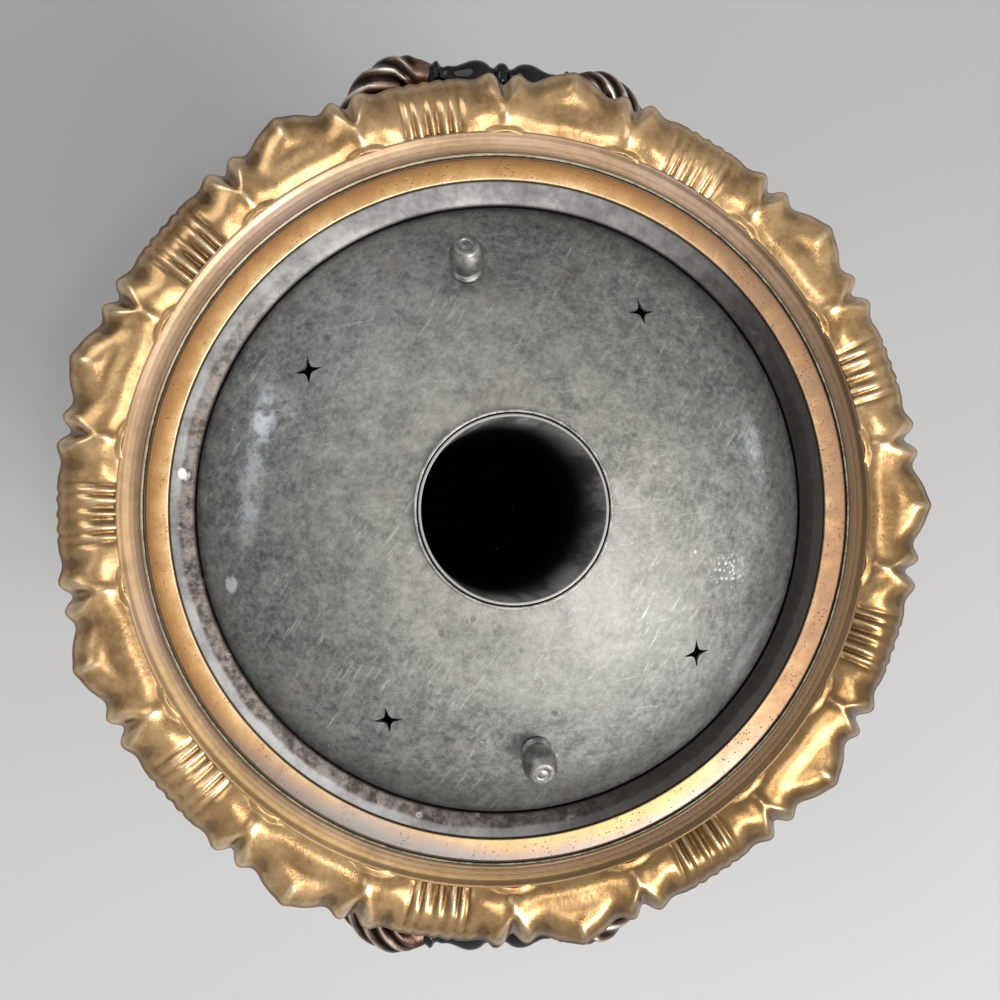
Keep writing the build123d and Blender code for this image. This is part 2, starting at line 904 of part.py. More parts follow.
def make_tap():
    level = ring_level - tap_drop
    wall = body_radius(level)
    axis = tap_axis()
    block = body_block(gap / 2)

    face = rosette_edge + rosette_thick
    plate = turned(
        (0, -rosette_radius),
        (rosette_radius, -rosette_radius),
        (rosette_radius, rosette_edge),
        (0.87 * rosette_radius, rosette_edge + 0.5 * rosette_thick),
        (0.61 * rosette_radius, rosette_edge + 0.6 * rosette_thick),
        (0.52 * rosette_radius, face),
        (0, face),
    )
    rosette = axis * plate - block - axis * Cylinder(pipe_radius + running, through)
    save("tap_rosette", rosette)

    plug_x = wall + tap_reach
    centre = Pos(plug_x, 0, level)
    inside = wall - tap_inlet
    pipe_length = plug_x - inside
    pipe = Pos(inside + pipe_length / 2, 0, level) * Rot(0, 90, 0) * Cylinder(pipe_radius, pipe_length)
    barrel = centre * turned(
        (0, -barrel_height / 2),
        (barrel_radius - barrel_bevel, -barrel_height / 2),
        (barrel_radius, -barrel_height / 2 + 1.6 * barrel_bevel),
        (barrel_radius - 0.3 * barrel_bevel, 0),
        (barrel_radius, barrel_height / 2 - 1.6 * barrel_bevel),
        (barrel_radius - barrel_bevel, barrel_height / 2),
        (0, barrel_height / 2),
    )
    body = pipe + barrel
    body += centre * spout(spout_radius)
    outlet = centre * Pos(spout_reach, 0, -spout_bend - spout_drop)
    body += outlet * disc(spout_radius + spout_lip, spout_lip_height)
    body -= centre * spout(spout_bore)
    body -= outlet * Cylinder(spout_bore, spout_drop)
    body -= Pos(inside + pipe_length / 2, 0, level) * Rot(0, 90, 0) * Cylinder(water_bore, pipe_length)
    body -= centre * plug_cone(running)
    save("tap_body", body)

    nut_level = -barrel_height / 2 - washer_thick
    thread_length = 1.4 * tap_nut_height
    thread_hole = Cylinder(tap_thread_radius + running, through)
    plug = plug_cone(0)
    plug += Pos(0, 0, barrel_height / 2) * disc(tap_stem_radius, tap_stem_height)
    plug += Pos(0, 0, nut_level - thread_length) * disc(tap_thread_radius, washer_thick + thread_length)
    plug -= Rot(90, 0, 0) * Cylinder(spout_bore, 2 * barrel_height)
    save("tap_plug", centre * plug)
    washer = Pos(0, 0, nut_level) * disc(tap_nut_radius, washer_thick)
    save("tap_washer", centre * (washer - thread_hole))
    nut = extrude(RegularPolygon(tap_nut_radius, 6), -tap_nut_height) - thread_hole
    save("tap_nut", centre * Pos(0, 0, nut_level) * nut)
    save("tap_key", centre * Pos(0, 0, barrel_height / 2) * tap_key())

    back = extrude(RegularPolygon(1.55 * pipe_radius, 6), -back_nut_thick)
    back -= Cylinder(pipe_radius + running, through)
    save("tap_back_nut", axis * Pos(0, 0, -shell_wall - back_nut_set) * back)


def spout(radius):
    """The nose as a solid bar: straight out, round a quarter bend and down."""
    start = spout_reach - spout_bend
    bar = Pos(start / 2, 0, 0) * Rot(0, 90, 0) * Cylinder(radius, start)
    section = Plane(origin=(start, 0, 0), z_dir=(1, 0, 0)) * Circle(radius)
    bend = revolve(section, Axis((start, 0, -spout_bend), (0, 1, 0)), 90)
    drop = Pos(spout_reach, 0, -spout_bend - spout_drop / 2) * Cylinder(radius, spout_drop)
    return bar + bend + drop


def plug_cone(extra):
    """The tapered plug, grown by a running clearance where it cuts its own seat."""
    half = barrel_height / 2
    top = plug_top_radius + extra
    return turned((0, -half), (top - plug_taper, -half), (top, half), (0, half))


def tap_key():
    """A flat three-lobed key that stands on the plug's stem."""
    low = 0.35 * tap_stem_height
    side = key_width / 2 - key_lobe
    lobes = [(-side, key_shoulder), (side, key_shoulder), (0, key_height - key_lobe - low)]
    outline = Pos(0, low + key_neck / 3) * Rectangle(key_neck, key_neck)
    for x, y in lobes:
        outline += Pos(x, low + y) * Circle(key_lobe)
    outline += Pos(0, low + key_shoulder) * Rectangle(key_width - 2 * key_lobe, key_bar)
    for x, y in lobes:
        outline -= Pos(x, low + y) * Circle(key_eye)
    blade = extrude(Plane.XZ * outline, key_thick / 2, both=True)
    socket_radius = tap_stem_radius + key_socket_wall
    socket = turned(
        (0, gap),
        (socket_radius, gap),
        (socket_radius, 0.65 * tap_stem_height),
        (socket_radius - 0.5 * key_socket_wall, tap_stem_height + 2),
        (0, tap_stem_height + 2),
    )
    bore = Cylinder(tap_stem_radius + running, 2 * tap_stem_height + gap)
    return blade + socket - bore


os.makedirs("parts", exist_ok=True)
make_shoulder()
make_neck()
make_body()
make_fire_tube()
make_lid()
make_stem()
make_foot()
make_handles()
make_tap()
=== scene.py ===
from math import asin, cos, degrees, hypot, pi, radians, sin, sqrt

import bmesh
import bpy
import numpy as np
from mathutils import Matrix, Vector


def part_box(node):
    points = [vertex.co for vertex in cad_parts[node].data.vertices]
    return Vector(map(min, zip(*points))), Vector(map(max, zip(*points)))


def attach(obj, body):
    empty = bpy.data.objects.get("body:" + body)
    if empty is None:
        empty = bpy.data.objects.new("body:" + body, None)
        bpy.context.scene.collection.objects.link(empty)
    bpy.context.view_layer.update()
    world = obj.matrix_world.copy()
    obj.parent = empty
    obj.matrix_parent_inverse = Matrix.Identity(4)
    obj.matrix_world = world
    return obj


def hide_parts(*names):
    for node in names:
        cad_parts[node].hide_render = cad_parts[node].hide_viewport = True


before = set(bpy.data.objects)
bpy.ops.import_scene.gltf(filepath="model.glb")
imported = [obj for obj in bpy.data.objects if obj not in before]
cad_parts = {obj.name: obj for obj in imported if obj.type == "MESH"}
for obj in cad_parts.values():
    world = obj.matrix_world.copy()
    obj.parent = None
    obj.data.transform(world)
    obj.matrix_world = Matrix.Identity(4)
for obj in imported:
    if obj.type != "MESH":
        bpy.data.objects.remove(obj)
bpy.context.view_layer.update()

# A coal-fired samovar: patinated brass with a ruffled shoulder, a tinned lid and black turned grips.
# Sizes are in millimetres, as in the part's source, and become metres when a mesh is made.
MM = 0.001

# Ring, ledge and cove
ring_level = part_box("neck_ring")[1].z / MM
ring_outer = 140.2
ring_inner = 131.7
ring_thick = 3.0
ledge_inner = 122.0
ledge_drop = 1.0
ledge_slope = 1.6
ledge_depth = 12.6
lip_width = 5.0
neck_wall = 1.5
gap = 0.3
seam_width = 0.9
bead_width = 1.8
cove_width = 12.8
cove_depth = 10.2
collar_depth = 16.0
sheet = 1.4
cove_start = 0.8
cove_profile = [(142.6, -2.6), (143.3, -5.6), (144.4, -6.4), (146.5, -6.2)]
cove_profile += [(149.5, -5.5), (153.2, -5.2), (154.4, -8), (156, -11)]

# Ruffle, with angles in degrees
lobe_count = 9
first_lobe = 0.6
lobe_radius = 182.4
rim_radius = 177.6
notch_at = 9.2
horn_at = 1.95
pleat_pitch = 1.84
border_radius = 149.4
border_arch = 3.0
skirt_radius = 154.0
skirt_drop = 37.0

# Lid and fire tube
lid_edge = 121.4
lid_edge_drop = 3.5
dome_radius = 213.0
lid_sheet = 1.2
sleeve_gap = 0.5
sleeve_wall = 1.2
sleeve_height = 7.0
sleeve_rise = 2.0
tube_bore = 34.5
tube_wall = 1.1
tube_proud = 33.0
chamber_bore = 44.6
chamber_wall = 2.0
chamber_height = 60.0
chamber_neck = 170.0
chamber_lip = 41.0
vent_circle = 93.5
vent_angles = (56.0, 145.4, 240.0, 322.7)
vent_tip = 5.9
vent_turn = 8.0
knob_circle = 93.5
knob_angles = {"right": 100.0, "left": 276.5}
knob_radius = 6.7
knob_height = 16.0
knob_collar = [(0, 0.1), (0.84, 0.1), (0.9, 0.6), (0.88, 1.3), (0.74, 1.9), (0.68, 2.3)]
knob_barrel = [(0.7, 0.17), (0.86, 0.28), (0.99, 0.46), (1, 0.62), (0.92, 0.8), (0.78, 0.92)]
knob_top = [(0.7, 0.985), (0.6, 1), (0.44, 1), (0.4, 0.975), (0.3, 0.97), (0.2, 0.985), (0.1, 1), (0, 1)]

# Handles
handle_angles = {"right": 89.6, "left": 269.65}
handle_turns = {"right": -2.6, "left": 180.4}
handle_reach = {"right": 183.2, "left": 179.8}
grip_length = 62.0
grip_bead = 7.8
grip_neck = 4.6
grip_drop = 33.0
grip_swells = [(0, 0.95), (1.2, 0.93), (2.6, 0.78), (3.5, 0.66), (4.6, 0.7), (6.6, 0.88), (9.3, 0.99)]
grip_swells += [(11.3, 1), (14, 0.93), (17, 0.76), (20.5, 0.6)]
grip_rings = [(23.5, 1), (25.2, 0.86), (26.4, 1.02), (27.4, 1.32), (28.3, 1.36), (29.4, 1.15), (30.8, 0.95)]
rod_radius = 3.0
pad_radius = 15.0
arm_span = 33.0
arm_drop = 33.0
arm_ribs = 6
arm_twist = 44.0
arm_rib_depth = 0.09
arm_flatness = 0.86
arm_radii = [5.0, 6.0, 7.2, 7.9, 7.9, 7.6, 8.2]

# Body
body_height = 316.0
body_level = ring_level - body_height
neck_top_drop = 3.2
neck_inner = 138.6
neck_drop = 17.0
shell_wall = 3.2
floor_hole = 48.0
floor_thick = 3.0
flute_depth = 2.4
body_outline = [(ring_outer, -neck_drop), (148.5, -27.0), (152.0, -42.0), (151.0, -70.0), (144.0, -120.0)]
body_outline += [(131.0, -175.0), (115.0, -225.0), (97.0, -268.0), (80.0, -297.0), (66.0, -311.0)]
body_outline += [(57.0, -body_height)]


# Shapes of outlines


def bump(x):
    return np.exp(-np.square(x))


def ramped(low, high, x):
    """0 below low, 1 above high and an even S between them."""
    u = np.clip((x - low) / (high - low), 0, 1)
    return u * u * (3 - 2 * u)


def eased(x, xs, ys):
    """The height at x of a smooth curve through (xs, ys)."""
    xs = np.array(xs, dtype=float)
    ys = np.array(ys, dtype=float)
    slopes = np.gradient(ys, xs)
    k = np.clip(np.searchsorted(xs, x) - 1, 0, len(xs) - 2)
    step = xs[k + 1] - xs[k]
    u = (x - xs[k]) / step
    start = ys[k] * (1 + 2 * u) * (1 - u) ** 2 + slopes[k] * step * u * (1 - u) ** 2
    end = ys[k + 1] * u * u * (3 - 2 * u) + slopes[k + 1] * step * u * u * (u - 1)
    return start + end


def curved(points, steps=5):
    """More points on a smooth curve through a row of points."""
    points = np.array(points, dtype=float)
    along = np.concatenate([[0], np.cumsum(np.linalg.norm(np.diff(points, axis=0), axis=1))])
    spans = len(points) - 1
    fine = np.interp(np.linspace(0, spans, steps * spans + 1), range(spans + 1), along)
    return [tuple(p) for p in np.stack([eased(fine, along, column) for column in points.T], axis=1)]


def rounded(corners, radius, closed=True):
    """The same outline with each corner rounded off by about a radius."""
    made = []
    count = len(corners)
    for k, corner in enumerate(corners):
        if not closed and k in (0, count - 1) or corner[0] == 0:
            made.append(corner)
            continue
        here = Vector(corner)
        before = Vector(corners[k - 1]) - here
        after = Vector(corners[(k + 1) % count]) - here
        start = here + before * min(radius / before.length, 0.4)
        end = here + after * min(radius / after.length, 0.4)
        for u in (0, 0.33, 0.67, 1):
            made.append(tuple((1 - u) ** 2 * start + 2 * u * (1 - u) * here + u * u * end))
    return made


# Meshes


def turned(outline, steps=180, closed=True):
    """Corners and faces of an outline of (radius, height) turned about Z."""
    corners = []
    rings = []
    for r, z in outline:
        if r < 1e-6:
            rings.append([len(corners)] * steps)
            corners.append((0, 0, z))
            continue
        rings.append(range(len(corners), len(corners) + steps))
        corners += [(r * cos(2 * pi * k / steps), r * sin(2 * pi * k / steps), z) for k in range(steps)]
    faces = []
    pairs = list(zip(rings, rings[1:]))
    if closed:
        pairs.append((rings[-1], rings[0]))
    for low, high in pairs:
        for k in range(steps):
            after = (k + 1) % steps
            loop = (low[k], low[after], high[after], high[k])
            face = tuple(dict.fromkeys(loop))
            if len(face) > 2:
                faces.append(face)
    return corners, faces


def grid_faces(rows, columns, first=0, around=False):
    """Faces between rows of corners, with the last column joined to the first if it goes around."""
    faces = []
    for i in range(rows - 1):
        for j in range(columns if around else columns - 1):
            after = (j + 1) % columns
            a = first + i * columns
            b = a + columns
            faces.append((a + j, a + after, b + after, b + j))
    return faces


def joined(*shapes):
    corners = []
    faces = []
    for some, theirs in shapes:
        first = len(corners)
        corners += list(some)
        faces += [tuple(first + k for k in face) for face in theirs]
    return corners, faces


def placed(shape, place):
    corners, faces = shape
    return [tuple(place @ Vector(c)) for c in corners], faces


def linked(name, data):
    """A new object of a mesh, lamp or camera, in the scene."""
    thing = bpy.data.objects.new(name, data)
    bpy.context.scene.collection.objects.link(thing)
    return thing


def raw_mesh(name, shape):
    """A mesh in metres, exactly as its corners and faces say."""
    corners, faces = shape
    mesh = bpy.data.meshes.new(name)
    mesh.from_pydata([Vector(c) * MM for c in corners], [], faces)
    return mesh


def make_mesh(name, shape, sharp=38):
    """A closed mesh in metres, with its doubles merged, its faces outwards and its crisp edges kept."""
    mesh = raw_mesh(name, shape)
    tidied(mesh, sharp)
    return linked(name, mesh)


def smoothed(mesh, sharp):
    """Shades a mesh smooth, but for edges that bend by more than some degrees."""
    mesh.shade_smooth()
    mesh.set_sharp_from_angle(angle=radians(sharp))


def tidied(mesh, sharp):
    """Merges a mesh's doubles and turns its faces outwards."""
    work = bmesh.new()
    work.from_mesh(mesh)
    bmesh.ops.remove_doubles(work, verts=work.verts, dist=2e-6)
    bmesh.ops.recalc_face_normals(work, faces=work.faces)
    work.to_mesh(mesh)
    work.free()
    smoothed(mesh, sharp)


def covered(thing, paint):
    thing.data.materials.clear()
    thing.data.materials.append(paint)


def dressed(thing, paint, slot, body, *replaced):
    """Gives a finished piece its finish, and says what it rides on and which nodes it replaces."""
    covered(thing, paint)
    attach(thing, body)
    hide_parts(*replaced)


def evaluated(thing, name, sharp=38):
    """A plain mesh of what the piece's modifiers make, in place of the piece."""
    graph = bpy.context.evaluated_depsgraph_get()
    mesh = bpy.data.meshes.new_from_object(thing.evaluated_get(graph))
    bpy.data.objects.remove(thing)
    mesh.name = name
    tidied(mesh, sharp)
    return linked(name, mesh)


def cut(thing, cutter, name):
    """The piece with the cutter's volume taken out."""
    knife = thing.modifiers.new("cut", "BOOLEAN")
    knife.operation = "DIFFERENCE"
    knife.solver = "EXACT"
    knife.object = cutter
    made = evaluated(thing, name)
    bpy.data.objects.remove(cutter)
    return made


# Node trees


class Value:
    """A number or colour in a node tree. Sums and products of numbers add their own Math nodes."""

    def __init__(self, nodes, socket):
        self.nodes = nodes
        self.socket = socket

    def __add__(self, other):
        return self.nodes.math("ADD", self, other)

    __radd__ = __add__

    def __sub__(self, other):
        return self.nodes.math("SUBTRACT", self, other)

    def __rsub__(self, other):
        return self.nodes.math("SUBTRACT", other, self)

    def __mul__(self, other):
        return self.nodes.math("MULTIPLY", self, other)

    __rmul__ = __mul__

    def __pow__(self, other):
        return self.nodes.math("POWER", self, other)


class Nodes:
    """A node tree that is built one node at a time."""

    def __init__(self, tree):
        self.tree = tree

    def node(self, kind, inputs=None, settings=None, output=0):
        """A node of a type: its settings first, then the values or links of its sockets."""
        made = self.tree.nodes.new(kind)
        for key, value in (settings or {}).items():
            if key == "stops":
                self.set_stops(made.color_ramp, value)
            else:
                setattr(made, key, value)
        for key, value in (inputs or {}).items():
            self.feed(made.inputs[key], value)
        return Value(self, made.outputs[output])

    def feed(self, socket, value):
        if isinstance(value, Value):
            self.tree.links.new(value.socket, socket)
        else:
            socket.default_value = value

    def set_stops(self, ramp, stops):
        while len(ramp.elements) < len(stops):
            ramp.elements.new(0.5)
        for element, (position, colour) in zip(ramp.elements, stops):
            element.position = position
            element.color = (*colour, 1)

    def math(self, operation, *numbers):
        return self.node("ShaderNodeMath", dict(enumerate(numbers)), {"operation": operation})


class Tree(Nodes):
    """A geometry node tree with named inputs."""

    def __init__(self, name, inputs):
        super().__init__(bpy.data.node_groups.new(name, "GeometryNodeTree"))
        self.tree.is_modifier = True
        face = self.tree.interface
        for label, kind in {"Geometry": "Geometry", **inputs}.items():
            face.new_socket(label, in_out="INPUT", socket_type=f"NodeSocket{kind}")
        face.new_socket("Geometry", in_out="OUTPUT", socket_type="NodeSocketGeometry")
        outputs = self.tree.nodes.new("NodeGroupInput").outputs
        self.given = {socket.name: Value(self, socket) for socket in outputs}

    def end(self, geometry):
        real = self.node("GeometryNodeRealizeInstances", {0: geometry})
        welded = self.node("GeometryNodeMergeByDistance", {"Geometry": real, "Distance": self.given["Weld"]})
        finish = {"Geometry": welded, "Material": self.given["Material"]}
        out = self.tree.nodes.new("NodeGroupOutput")
        self.feed(out.inputs[0], self.node("GeometryNodeSetMaterial", finish))


def repeat_tree():
    """Repeats a piece round the Z axis."""
    inputs = {"Count": "Int", "First angle": "Float", "Weld": "Float", "Material": "Material"}
    tree = Tree("round_the_axis", inputs)
    given = tree.given
    points = tree.node("GeometryNodePoints", {"Count": given["Count"], "Position": (0, 0, 0)})
    turn = tree.math("DIVIDE", 2 * pi, given["Count"])
    angle = tree.math("MULTIPLY_ADD", tree.node("GeometryNodeInputIndex"), turn, given["First angle"])
    spin = tree.node("ShaderNodeCombineXYZ", {"Z": angle})
    copied = {"Points": points, "Instance": given["Geometry"], "Rotation": spin}
    tree.end(tree.node("GeometryNodeInstanceOnPoints", copied))
    return tree.tree


def with_nodes(thing, group, values, name, sharp=38):
    """The mesh that a geometry node tree makes of a piece, with its inputs set by their names."""
    modifier = thing.modifiers.new(group.name, "NODES")
    modifier.node_group = group
    for item in group.interface.items_tree:
        if item.in_out == "INPUT" and item.name in values:
            modifier[item.identifier] = values[item.name]
    return evaluated(thing, name, sharp)


# Materials


class Paint(Nodes):
    """A finish on the pieces, from the pieces' own Object coordinates."""

    def __init__(self, name, metallic=1.0):
        self.material = bpy.data.materials.new(f"{name}_finish")
        self.material.use_nodes = True
        super().__init__(self.material.node_tree)
        self.tree.nodes.clear()
        self.shader = self.tree.nodes.new("ShaderNodeBsdfPrincipled")
        out = self.tree.nodes.new("ShaderNodeOutputMaterial")
        self.tree.links.new(self.shader.outputs[0], out.inputs[0])
        self.shader.inputs["Metallic"].default_value = metallic
        self.place = self.node("ShaderNodeTexCoord", output="Object")
        self.x, self.y, self.z = (self.part(self.place, axis) for axis in "XYZ")
        self.radius = (self.x * self.x + self.y * self.y) ** 0.5

    def part(self, vector, axis):
        return self.node("ShaderNodeSeparateXYZ", {0: vector}, output=axis)

    def noise(self, scale, detail=4, rough=0.55, stretch=(1, 1, 1), turn=0, shift=(0, 0, 0)):
        """Noise that is first turned about Z by some degrees, then stretched and shifted."""
        place = self.place
        if turn:
            place = self.node("ShaderNodeVectorRotate", {"Vector": place, "Angle": radians(turn)})
        moved = self.node("ShaderNodeMapping", {"Vector": place, "Location": shift, "Scale": stretch})
        return self.node(
            "ShaderNodeTexNoise",
            {"Vector": moved, "Scale": scale, "Detail": detail, "Roughness": rough},
        )

    def noise_along(self, number, scale, detail=3, rough=0.6):
        """Noise along one number, such as the radius for rings left by turning."""
        return self.node(
            "ShaderNodeTexNoise",
            {"W": number, "Scale": scale, "Detail": detail, "Roughness": rough},
            {"noise_dimensions": "1D"},
        )

    def specks(self, scale, size, shift=(0, 0, 0)):
        """1 in scattered round specks and 0 between them."""
        moved = self.node("ShaderNodeMapping", {"Vector": self.place, "Location": shift})
        near = self.node("ShaderNodeTexVoronoi", {"Vector": moved, "Scale": scale, "Randomness": 1.0})
        return self.ease(size, size * 0.4, near)

    def ease(self, start, end, value):
        """0 at start and 1 at end, with an even S between them."""
        return self.node(
            "ShaderNodeMapRange",
            {"Value": value, "From Min": start, "From Max": end},
            {"interpolation_type": "SMOOTHSTEP"},
        )

    def patches(self, start, end, *grain, **place):
        """Patches where noise of a scale, detail and roughness is past start, whole from end on."""
        return self.ease(start, end, self.noise(*grain, **place))

    def band(self, value, middle, width, soft):
        """1 within a width of the middle, and 0 beyond it."""
        away = self.math("ABSOLUTE", value - middle)
        return self.ease(width + soft, width, away)

    def spot(self, x, y, half_x, half_y, turn=0, soft=0.5):
        """1 inside an ellipse on the lid or ring, in millimetres and degrees, and 0 outside it."""
        moved = self.node(
            "ShaderNodeMapping",
            {"Vector": self.place, "Location": (x * MM, y * MM, 0), "Rotation": (0, 0, radians(turn))},
            {"vector_type": "TEXTURE"},
        )
        across = self.part(moved, "X") * (1000 / half_x)
        along = self.part(moved, "Y") * (1000 / half_y)
        return self.ease(1 + soft, 1 - soft, across * across + along * along)

    def attribute(self, name):
        return self.node("ShaderNodeAttribute", settings={"attribute_name": name}, output="Fac")

    def mix(self, factor, a, b):
        """Colour a where the factor is 0 and b where it is 1."""
        a = a if isinstance(a, Value) else (*a, 1)
        b = b if isinstance(b, Value) else (*b, 1)
        return self.node("ShaderNodeMix", {0: factor, 6: a, 7: b}, {"data_type": "RGBA"}, output=2)

    def layered(self, body, *coats):
        """A colour with coats over it, each told by how much it covers and its colour."""
        for amount, colour in coats:
            body = self.mix(amount, body, colour)
        return body

    def ramp(self, value, *stops):
        return self.node("ShaderNodeValToRGB", {0: value}, {"stops": stops})

    def finish(self, colour, roughness, height=None, depth=0.0001, strength=1.0, metallic=None):
        self.feed(self.shader.inputs["Base Color"], colour)
        self.feed(self.shader.inputs["Roughness"], roughness)
        if metallic is not None:
            self.feed(self.shader.inputs["Metallic"], metallic)
        if height is not None:
            relief = {"Height": height, "Distance": depth, "Strength": strength}
            self.feed(self.shader.inputs["Normal"], self.node("ShaderNodeBump", relief))
        return self.material


def brass_paint(name, light, middle, dark, rough):
    """Satin brass under an old brown patina, dark in the hollows, light on ridges from wear and painted
    highlight.

    It is calmer below the shoulder, with painted light on two sides of the shoulder and painted shade towards
    the tap's left, and near black inside the stem from soot and painted shade.
    """
    paint = Paint(name)
    stem_waist = 0.076
    stem_bore = 0.0388
    stem_reach = 0.0225
    clouds = paint.noise(34, 6, 0.62)
    blotches = paint.noise(105, 7, 0.7, shift=(0.3, 0.1, 0))
    fine = paint.noise(620, 5, 0.75)
    relief = paint.attribute("relief")
    calm = paint.ease(0.385, 0.365, paint.z) * 0.62
    age = paint.ease(0.38, 0.6, clouds * 0.45 + blotches * 0.4 + fine * 0.15)
    age = age + calm * (0.6 - age)
    hollow = paint.ease(0.1, -0.6, relief) * (0.45 + 0.55 * paint.ease(0.35, 0.6, blotches))
    olive = paint.patches(0.5, 0.66, 52, 5, 0.6, shift=(4, 2, 0))
    stains = paint.specks(150, 0.16, shift=(0.02, 0.05, 0.01)) * paint.ease(0.5, 0.62, blotches)
    streaks = paint.patches(0.52, 0.7, 330, 5, 0.75, stretch=(1, 1, 0.12))
    shoulder = paint.ease(0.375, 0.392, paint.z)
    # Painted light on two sides of the shoulder, and painted shade towards the tap's left.
    painted_light_sides = paint.ease(0.35, 1.0, (paint.x * 0.42 + paint.y * 0.9) * 6.1)
    painted_light_sides = painted_light_sides + paint.ease(0.4, 1.0, (paint.x * 0.92 + paint.y * 0.38) * -6.1) * 0.45
    painted_shade_side = paint.ease(0.45, 1.0, (paint.x - paint.y) * 4.3)
    # Soot and painted shade: the inside of the stem is painted near black.
    away = paint.math("ABSOLUTE", paint.z - stem_waist)
    stem_inside = away * 0.0925 + away * away * 31.7 + stem_bore
    soot_and_shade = paint.ease(0.0, -0.0008, paint.radius - stem_inside)
    soot_and_shade = soot_and_shade * paint.ease(stem_reach, stem_reach - 0.002, away)
    body = paint.layered(
        paint.mix(age, middle, light),
        # Light on the ridges, partly wear and partly painted highlight; the highest ridges get a paler
        # painted highlight.
        (paint.ease(0.15, 0.8, relief) * 0.6, light),
        (paint.ease(0.6, 1.0, relief) * 0.55, (0.85, 0.7, 0.48)),
        (hollow * 0.92, dark),
        (olive * (0.45 - 0.4 * calm), middle),
        (stains * 0.45, dark),
        (streaks * 0.3, middle),
        (painted_light_sides * shoulder * (0.08 + 0.5 * age), (0.8, 0.52, 0.26)),
        (painted_shade_side * shoulder * 0.62, (0.15, 0.085, 0.03)),
        (soot_and_shade, (0.012, 0.011, 0.01)),
    )
    brushed = paint.noise(520, 3, stretch=(1, 1, 0.12))
    height = brushed * 0.4 + fine * 0.5 + clouds * 1.4 + blotches * 1.3
    roughness = rough + 0.18 * (blotches - 0.5) + 0.05 * hollow - 0.08 * calm + 0.4 * soot_and_shade
    return paint.finish(body, roughness, height, depth=0.00018, strength=0.7)


def cove_paint():
    """Brown turned brass with fine rings, verdigris in the seam beside the bare ring, and painted shade
    towards the right.
    """
    paint = Paint("brown_brass")
    r = paint.radius
    seam_at = 0.1416
    lip_at = 0.14585
    groove_at = 0.1473
    rings = paint.noise_along(r, 2300, 3, 0.7)
    broad = paint.noise_along(r, 520, 2)
    clouds = paint.noise(26, 6, 0.62)
    grain = paint.noise(260, 5, 0.68, shift=(0, 3, 0))
    tone = paint.ease(0.32, 0.68, broad * 0.3 + clouds * 0.45 + grain * 0.25)
    golden = paint.ease(0.1462, 0.1478, r) * paint.ease(0.07, -0.05, paint.y)
    lines = paint.band(r, lip_at, 0.0001, 0.00012) + paint.band(r, groove_at, 0.00008, 0.0001)
    seam = paint.band(r, seam_at, 0.00012, 0.00014) * (0.4 + 0.6 * paint.ease(0.4, 0.6, grain))
    body = paint.layered(
        paint.mix(tone, (0.21, 0.135, 0.075), (0.42, 0.29, 0.19)),
        (paint.ease(0.5, 0.72, rings) * 0.35, (0.24, 0.165, 0.115)),
        (golden * 0.75, paint.mix(tone, (0.3, 0.18, 0.075), (0.56, 0.37, 0.17))),
        (paint.patches(0.5, 0.7, 14, 3, shift=(1, 2, 0)) * 0.35, (0.42, 0.31, 0.28)),
        # Painted shade: the cove is darkened towards the right.
        (paint.ease(0.0, 0.12, paint.x * 0.9 - paint.y * 0.4) * 0.85, (0.085, 0.05, 0.024)),
        (paint.ease(0.1445, 0.1425, r) * 0.55, (0.08, 0.055, 0.035)),
        (lines * 0.55, (0.16, 0.105, 0.07)),
        (seam, (0.46, 0.48, 0.36)),
    )
    height = rings * 0.5 + broad * 0.6 + grain * 0.5
    roughness = 0.4 + 0.3 * seam + 0.16 * (clouds - 0.5)
    return paint.finish(body, roughness, height, depth=0.00018, strength=0.6, metallic=0.92 - 0.7 * seam)


